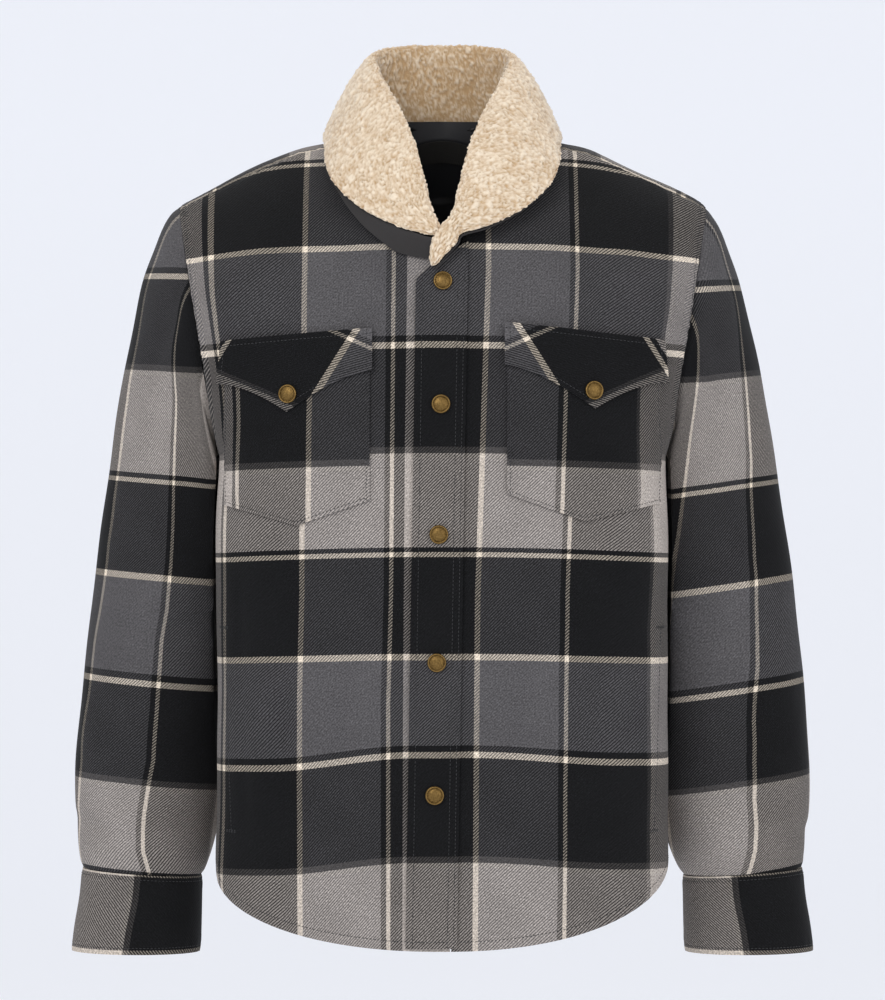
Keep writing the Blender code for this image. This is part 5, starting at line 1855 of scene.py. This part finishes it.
@dataclass
class NeckLining:
    """The quilted back lining and the plain label sewn to it."""

    form: BodyForm
    body: BodyCloth
    wall: float = 0.0010
    trim: float = 0.8575
    low_share: float = 0.1778
    gap: float = 0.0024
    seam_gap: float = 0.0055
    yoke_gap: float = 0.0065
    top_place: float = 2.42
    label_half: float = 0.159
    label_places: tuple[float, float] = (2.736, 2.42)
    diamond: float = 0.038
    puff: float = 0.0020
    neck_rows: int = 8
    neck_seam: Table = (
        # x, y, z of the collar's seam on the neckline
        (0.000, 0.0660, 0.0245),
        (0.035, 0.0600, 0.0240),
        (0.058, 0.0410, 0.0225),
        (0.068, 0.0100, 0.0186),
    )

    def smooth_grid(self) -> tuple[np.ndarray, np.ndarray, np.ndarray]:
        """Points on the back and yoke, the gap to them, and the yoke place of each row."""
        form = self.form
        across = np.linspace(-self.trim, self.trim, 96)[None, :]
        hem = self.body.hem_height(across, self.body.back_hem, form.back_square)
        rise = np.linspace(self.low_share, 1, 90)[:, None]
        low = form.back(across, hem + rise * (form.underarm_z - hem))
        rows = np.linspace(form.underarm_z, form.yoke_seam_z, 36)[1:, None]
        high = form.back(across, rows)
        places = np.linspace(4, self.top_place, 44)[1:]
        top = form.yoke(across, places[:, None])
        grid = np.concatenate([low, high, top])
        gap = np.concatenate([np.full(len(low) + len(high), self.gap), np.full(len(top), self.yoke_gap)])
        seam = len(low) + len(high) - 1
        gap[seam - 12 : seam + 1] = np.linspace(self.gap, self.seam_gap, 13)
        gap[seam + 1 : seam + 7] = np.linspace(self.seam_gap, self.yoke_gap, 7)[1:]
        place = np.concatenate([np.full(len(low) + len(high), 9.0), places])
        return grid, gap, place

    def quilted(self) -> tuple[np.ndarray, np.ndarray, np.ndarray]:
        """Outer points, the wall at each with its quilting, and outward normals."""
        grid, gap, place = self.smooth_grid()
        normals = grid_normals(grid)
        if np.sum(normals * grid * (1, 1, 0)) < 0:
            normals = -normals
        x = grid[..., 0]
        down = run_length(grid, 0)
        first = (x * 1.25 + down) / self.diamond
        second = (x * 1.25 - down) / self.diamond
        pillow = np.abs(np.sin(math.pi * first) * np.sin(math.pi * second)) ** 0.45
        under_label = smooth_step(0.030, 0.046, np.abs(x)) + (place[:, None] > 3.2)
        wall = self.wall + self.puff * pillow * np.clip(under_label, 0, 1)
        return grid - (0.0024 + gap)[:, None, None] * normals, wall, normals

    def joined_to_neck(self, outer: np.ndarray, wall: np.ndarray, normals: np.ndarray) -> tuple[np.ndarray, np.ndarray, np.ndarray]:
        """Adds the rows that carry the lining's top edge up to the collar seam.

        Args:
            outer: the lining's outer points.
            wall: its thickness at each.
            normals: its outward normals.

        Returns:
            The three with the further rows.
        """
        top = outer[-1]
        across = np.abs(top[:, 0])
        seam = np.array(self.neck_seam)
        size = np.minimum(across / seam[-1, 0], 1.0)
        behind = np.interp(size * seam[-1, 0], seam[:, 0], seam[:, 1])
        high = np.interp(size * seam[-1, 0], seam[:, 0], seam[:, 2])
        target = np.stack([top[:, 0] * 0.97, behind - 0.0034, high + 0.0016], axis=-1)
        away = smooth_step(0.070, 0.086, across)[:, None]
        target = target + away * (top + (0.0, 0.0, 0.0015) - target)
        steps = np.linspace(0, 1, self.neck_rows + 1)[1:, None, None]
        more = top + steps * (target - top)
        count = self.neck_rows
        return (
            np.concatenate([outer, more]),
            np.concatenate([wall, np.repeat(wall[-1:], count, axis=0)]),
            np.concatenate([normals, np.repeat(normals[-1:], count, axis=0)]),
        )

    def build(self, material: bpy.types.Material, label: bpy.types.Material) -> dict[str, bpy.types.Object]:
        """Makes the lining and the label.

        Args:
            material: the quilted satin.
            label: the label's tape.

        Returns:
            The pieces by name.
        """
        outer, wall, normals = self.quilted()
        outer, wall, normals = self.joined_to_neck(outer, wall, normals)
        lining = Panel("lining_back", outer, normals, outer[..., [0, 2]], outer[..., [0, 2]], self.wall)
        lining.wall = wall[..., None]
        made = {"lining_back": lining.build(material, "quilted_lining")}
        wide, long = run_length(outer, 1)[:, -1].max(), run_length(outer, 0)[-1].max()
        self.lining_flat = (float(wide), float(long))
        self.lining_area = panel_area(lining)
        log.info("flat lining_back: %.3f x %.3f, area %.4f", wide, long, panel_area(lining))
        across = np.linspace(-self.label_half, self.label_half, 26)[None, :]
        places = np.linspace(*self.label_places, 16)[:, None]
        face = self.form.yoke(across, places)
        outs = grid_normals(face)
        if np.sum(outs * face * (1, 1, 0)) < 0:
            outs = -outs
        bulge = 0.0006 * np.sin(np.linspace(0, math.pi, 16))[:, None] * np.ones((1, 26))
        face = face - (0.0024 + self.yoke_gap + self.wall + 0.0008 + bulge)[..., None] * outs
        tape = Panel("neck_label", face, outs, face[..., [0, 2]], face[..., [0, 2]], 0.0006)
        made["neck_label"] = tape.build(label, "label_cloth")
        self.label_flat = (float(run_length(face, 1)[:, -1].max()), float(run_length(face, 0)[-1].max()))
        self.label_area = panel_area(tape)
        log.info("flat neck_label: %.3f x %.3f, area %.4f", *self.label_flat, self.label_area)
        return made


# Snaps


@dataclass
class SnapCap:
    """A stamped snap cap: a rolled rim round a shallow groove and a low dome."""

    radius: float = 0.0083
    height: float = 0.0034
    steps: Sequence[tuple[float, float]] = (
        # rise and size of each ring, as shares of the cap's height and radius
        (0.30, 1.000),
        (0.62, 0.985),
        (0.82, 0.930),
        (0.86, 0.870),
        (0.76, 0.815),
        (0.62, 0.780),
        (0.62, 0.740),
        (0.78, 0.600),
        (0.90, 0.430),
        (0.98, 0.230),
    )

    def model(self, material: bpy.types.Material) -> bpy.types.Object:
        """Models one cap at the origin, facing up, by extruding a disc ring by ring.

        Args:
            material: the brass.

        Returns:
            The cap, to be copied.
        """
        bpy.ops.object.select_all(action="DESELECT")
        bpy.ops.mesh.primitive_circle_add(vertices=40, radius=self.radius * 0.9, fill_type="NGON")
        cap = bpy.context.object
        bpy.ops.object.mode_set(mode="EDIT")
        bpy.ops.mesh.select_all(action="SELECT")
        size, rise = 0.9, 0.0
        for next_rise, next_size in self.steps:
            climb = (next_rise - rise) * self.height
            bpy.ops.mesh.extrude_region_move(TRANSFORM_OT_translate={"value": (0, 0, climb)})
            bpy.ops.transform.resize(value=(next_size / size, next_size / size, 1), center_override=(0, 0, 0))
            size, rise = next_size, next_rise
        bpy.ops.mesh.select_all(action="SELECT")
        bpy.ops.mesh.normals_make_consistent(inside=False)
        bpy.ops.object.mode_set(mode="OBJECT")
        cap.data.materials.clear()
        cap.data.materials.append(material)
        cap.data.shade_smooth()
        heights = np.empty(len(cap.data.vertices) * 3, np.float32)
        cap.data.vertices.foreach_get("co", heights)
        heights = heights.reshape(-1, 3)
        far = np.hypot(heights[:, 0], heights[:, 1]) / self.radius
        tone = 0.55 + 0.25 * np.exp(-(((far - 0.93) / 0.06) ** 2)) - 0.3 * np.exp(-(((far - 0.76) / 0.05) ** 2))
        tone += 0.10 * np.exp(-((far / 0.35) ** 2))
        attribute = cap.data.attributes.new(TONE_NAME, "FLOAT", "POINT")
        attribute.data.foreach_set("value", np.ascontiguousarray(tone, np.float32))
        return cap

    def place(self, cap: bpy.types.Object, name: str, seat: np.ndarray, out: np.ndarray) -> bpy.types.Object:
        """Copies the cap to its place, with the place in its mesh.

        Args:
            cap: the model.
            name: the copy's name.
            seat: where its foot sits.
            out: the cloth's outward normal.

        Returns:
            The copy.
        """
        mesh = cap.data.copy()
        mesh.name = name
        facing = Vector(out).to_track_quat("Z", "Y").to_matrix().to_4x4()
        mesh.transform(Matrix.Translation(Vector(seat)) @ facing)
        made = bpy.data.objects.new(name, mesh)
        bpy.context.scene.collection.objects.link(made)
        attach(made, BODY)
        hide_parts(name)
        return made


# Studio


@dataclass(frozen=True)
class Studio:
    """A pale sweep, large soft lights and the photo's camera."""

    distance: float = 4.0
    eye_height: float = -0.3195
    lens: float = 160.0
    sensor: float = 36.0
    floor_z: float = -1.25
    radius: float = 9.0
    bend: float = 2.0
    wall_height: float = 8.0
    paper: str = "BFC1C6"
    paper_light: str = "E9EBF0"
    paper_glow: float = 0.54

    def sweep(self) -> bpy.types.Object:
        """The round paper that runs from the floor up on all sides, so that every view has it behind."""
        turn = np.linspace(0, math.pi / 2, 16)
        far = np.concatenate([[0.5], self.radius - self.bend * (1 - np.sin(turn)), [self.radius]])
        high = np.concatenate([[0.0], self.bend * (1 - np.cos(turn)), [self.wall_height]]) + self.floor_z
        around = np.linspace(0, 2 * math.pi, 96, endpoint=False)
        points = [(0.0, 0.0, self.floor_z)]
        points += [(a * math.cos(t), a * math.sin(t), b) for a, b in zip(far, high) for t in around]
        n = len(around)
        faces = [(0, 1 + k, 1 + (k + 1) % n) for k in range(n)]
        for ring in range(len(far) - 1):
            first = 1 + ring * n
            for k in range(n):
                after = (k + 1) % n
                faces.append((first + k, first + n + k, first + n + after, first + after))
        material, _, shader = shaded("studio_paper")
        shader.inputs["Base Color"].default_value = linear(self.paper)
        shader.inputs["Roughness"].default_value = 1.0
        shader.inputs["Specular IOR Level"].default_value = 0.0
        shader.inputs["Emission Color"].default_value = linear(self.paper_light)
        shader.inputs["Emission Strength"].default_value = self.paper_glow
        paper = mesh_object("studio_paper", points, faces, material)
        return paper

    def lamp(self, name: str, place: Sequence[float], size: float, watts: float) -> None:
        """A square soft box that looks at the jacket."""
        data = bpy.data.lights.new(name, "AREA")
        data.shape = "SQUARE"
        data.size = size
        data.energy = watts
        lamp = bpy.data.objects.new(name, data)
        lamp.location = place
        lamp.rotation_euler = (Vector((0, 0, -0.3)) - Vector(place)).to_track_quat("-Z", "Y").to_euler()
        bpy.context.scene.collection.objects.link(lamp)

    def build(self) -> None:
        """Sets up paper, lights, sky and camera."""
        self.sweep()
        self.lamp("key_light", (-1.6, -3.2, 1.6), 1.8, 50.0)
        self.lamp("fill_light", (2.4, -2.8, 0.6), 2.2, 24.0)
        self.lamp("top_light", (0.0, 0.6, 2.6), 1.8, 20.0)
        world = bpy.data.worlds.new("studio_sky")
        world.use_nodes = True
        world.node_tree.nodes["Background"].inputs[0].default_value = linear("F6F4F2")
        world.node_tree.nodes["Background"].inputs[1].default_value = 0.55
        bpy.context.scene.world = world
        bpy.context.scene.view_settings.view_transform = "Standard"
        camera = bpy.data.objects.new("camera", bpy.data.cameras.new("camera"))
        camera.data.sensor_fit = "VERTICAL"
        camera.data.sensor_height = self.sensor
        camera.data.lens = self.lens
        camera.location = (0.0, -self.distance, self.eye_height)
        camera.rotation_euler = (math.pi / 2, 0.0, 0.0)
        bpy.context.scene.collection.objects.link(camera)
        bpy.context.scene.camera = camera


def panel_area(panel: Panel) -> float:
    """The cloth area of a panel, in square metres."""
    grid = panel.grid
    if panel.around:
        grid = np.concatenate([grid, grid[:, :1]], axis=1)
    cross = np.cross(grid[1:, 1:] - grid[:-1, :-1], grid[1:, :-1] - grid[:-1, 1:])
    return float(np.linalg.norm(cross, axis=-1).sum() / 2)


def finish_sheet(panel: Panel, cloths: Cloths, slot: str = "plaid_flannel") -> bpy.types.Object:
    made = panel.build(cloths.plaid if slot == "plaid_flannel" else cloths.satin, slot)
    span = np.ptp(panel.cloth.reshape(-1, 2), axis=0)
    area = panel_area(panel)
    width, length = float(span[0]), float(span[1])
    log.info("flat %s: %.3f x %.3f, area %.4f, fill %.3f", panel.name, width, length, area, area / width / length)
    return made


def main() -> None:
    """Builds the jacket piece by piece, then the studio."""
    logging.basicConfig(level=logging.INFO, format="%(message)s")
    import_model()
    cloths = make_cloths()
    form = BodyForm()
    body = BodyCloth(form)
    front_folds = FRONT_FOLDS
    stitching = Stitching("stitching")
    edge = SeamPull
    for side in (-1, 1):
        panel = body.front_panel(side)
        panel.crease(front_folds, hold_start=False)
        panel.sew([edge(Side.END), edge(Side.TOP), edge(Side.BOTTOM, dip=0.0004, stitch=0.0085)])
        stitching.add(panel.line_along(Side.BOTTOM, 0.0085))
        stitching.add(panel.line_along(Side.END, 0.006))
        finish_sheet(panel, cloths)
    back = body.back_panel()
    back.crease(BACK_FOLDS)
    back.sew([edge(Side.START), edge(Side.END), edge(Side.TOP), edge(Side.BOTTOM, dip=0.0004, stitch=0.0085)])
    stitching.add(back.line_along(Side.BOTTOM, 0.0085))
    finish_sheet(back, cloths)
    yoke = body.yoke_panel()
    yoke.crease(YOKE_FOLDS)
    yoke.sew([edge(Side.START), edge(Side.END), edge(Side.TOP)])
    stitching.add(yoke.line_along(Side.TOP, 0.006))
    stitching.add(yoke.line_along(Side.START, 0.006))
    stitching.add(yoke.line_along(Side.END, 0.006))
    finish_sheet(yoke, cloths)
    for side in (-1, 1):
        sleeve = SleeveCloth(form, side)
        panel = sleeve.panel()
        panel.crease(SLEEVE_FOLDS[side])
        panel.sew([edge(Side.BOTTOM, stitch=None), edge(Side.TOP, stitch=None)])
        finish_sheet(panel, cloths)
        cuff = sleeve.cuff()
        cuff.sew([edge(Side.BOTTOM, dip=0.0008, stitch=0.0045), edge(Side.TOP, dip=0.0006, stitch=0.006)])
        stitching.add(cuff.line_along(Side.BOTTOM, 0.0045))
        stitching.add(cuff.line_along(Side.TOP, 0.006))
        finish_sheet(cuff, cloths)
    layers = FrontLayers(form, body, front_folds)
    placket = layers.placket()
    placket.sew([edge(Side.START, dip=0.0005), edge(Side.END, dip=0.0005, stitch=0.003), edge(Side.BOTTOM, dip=0.0005, stitch=None)])
    for side, off in ((Side.START, 0.006), (Side.END, 0.003), (Side.END, 0.0085), (Side.BOTTOM, 0.006)):
        stitching.add(placket.line_along(side, off))
    finish_sheet(placket, cloths)
    for side in (-1, 1):
        for line in layers.side_pocket_lines(side):
            stitching.add(line)
    cap = SnapCap()
    model = cap.model(cloths.brass)
    for index, z in enumerate((-0.1290, -0.2360, -0.3494, -0.4609, -0.5766)):
        layers.snap(cap, model, f"snap_front_{index + 1}", float(body.placket_middle(z)), z, layers.gap + layers.wall)
    for name in ("right", "left"):
        pocket = layers.pocket(name)
        pocket.sew([edge(side, dip=0.0005, stitch=0.005) for side in (Side.START, Side.END, Side.BOTTOM)])
        for side in (Side.START, Side.END, Side.BOTTOM):
            stitching.add(pocket.line_along(side, 0.003))
        finish_sheet(pocket, cloths)
        flap = layers.flap(name)
        flap.sew([edge(side, dip=0.0004, stitch=0.005, pucker=0.0002) for side in Side])
        for side in Side:
            stitching.add(flap.line_along(side, 0.005))
        finish_sheet(flap, cloths)
        near, far, near_top, far_top = layers.pockets[name][:4]
        z = (near_top + far_top) / 2 - layers.flap_point_drop + layers.snap_rise
        lift = layers.pocket_gap + layers.pocket_wall + layers.gap + layers.flap_wall
        near -= math.copysign(layers.flap_overhang, near)
        far += math.copysign(layers.flap_overhang, far)
        layers.snap(cap, model, f"snap_pocket_{name}", near + layers.flap_point_share * (far - near), z, lift)
    bpy.data.objects.remove(model, do_unlink=True)
    collar = FleeceCollar()
    collar.fleece(cloths.fleece)
    grid, down = collar.under_strip()
    run_along, run_across = run_length(grid, 0), run_length(grid, 1)
    strip = Panel("undercollar", grid, down, np.stack([run_along, run_across], -1), np.stack([run_along, run_across], -1), 0.0015)
    finish_sheet(strip, cloths, "collar_satin")
    neck = NeckLining(form, body)
    pieces = neck.build(cloths.lining, cloths.label)
    made = stitching.build(cloths.thread, "plaid_flannel")
    log.info("stitching: %d faces", len(made.data.polygons))
    Studio().build()


if __name__ == "__main__":
    main()
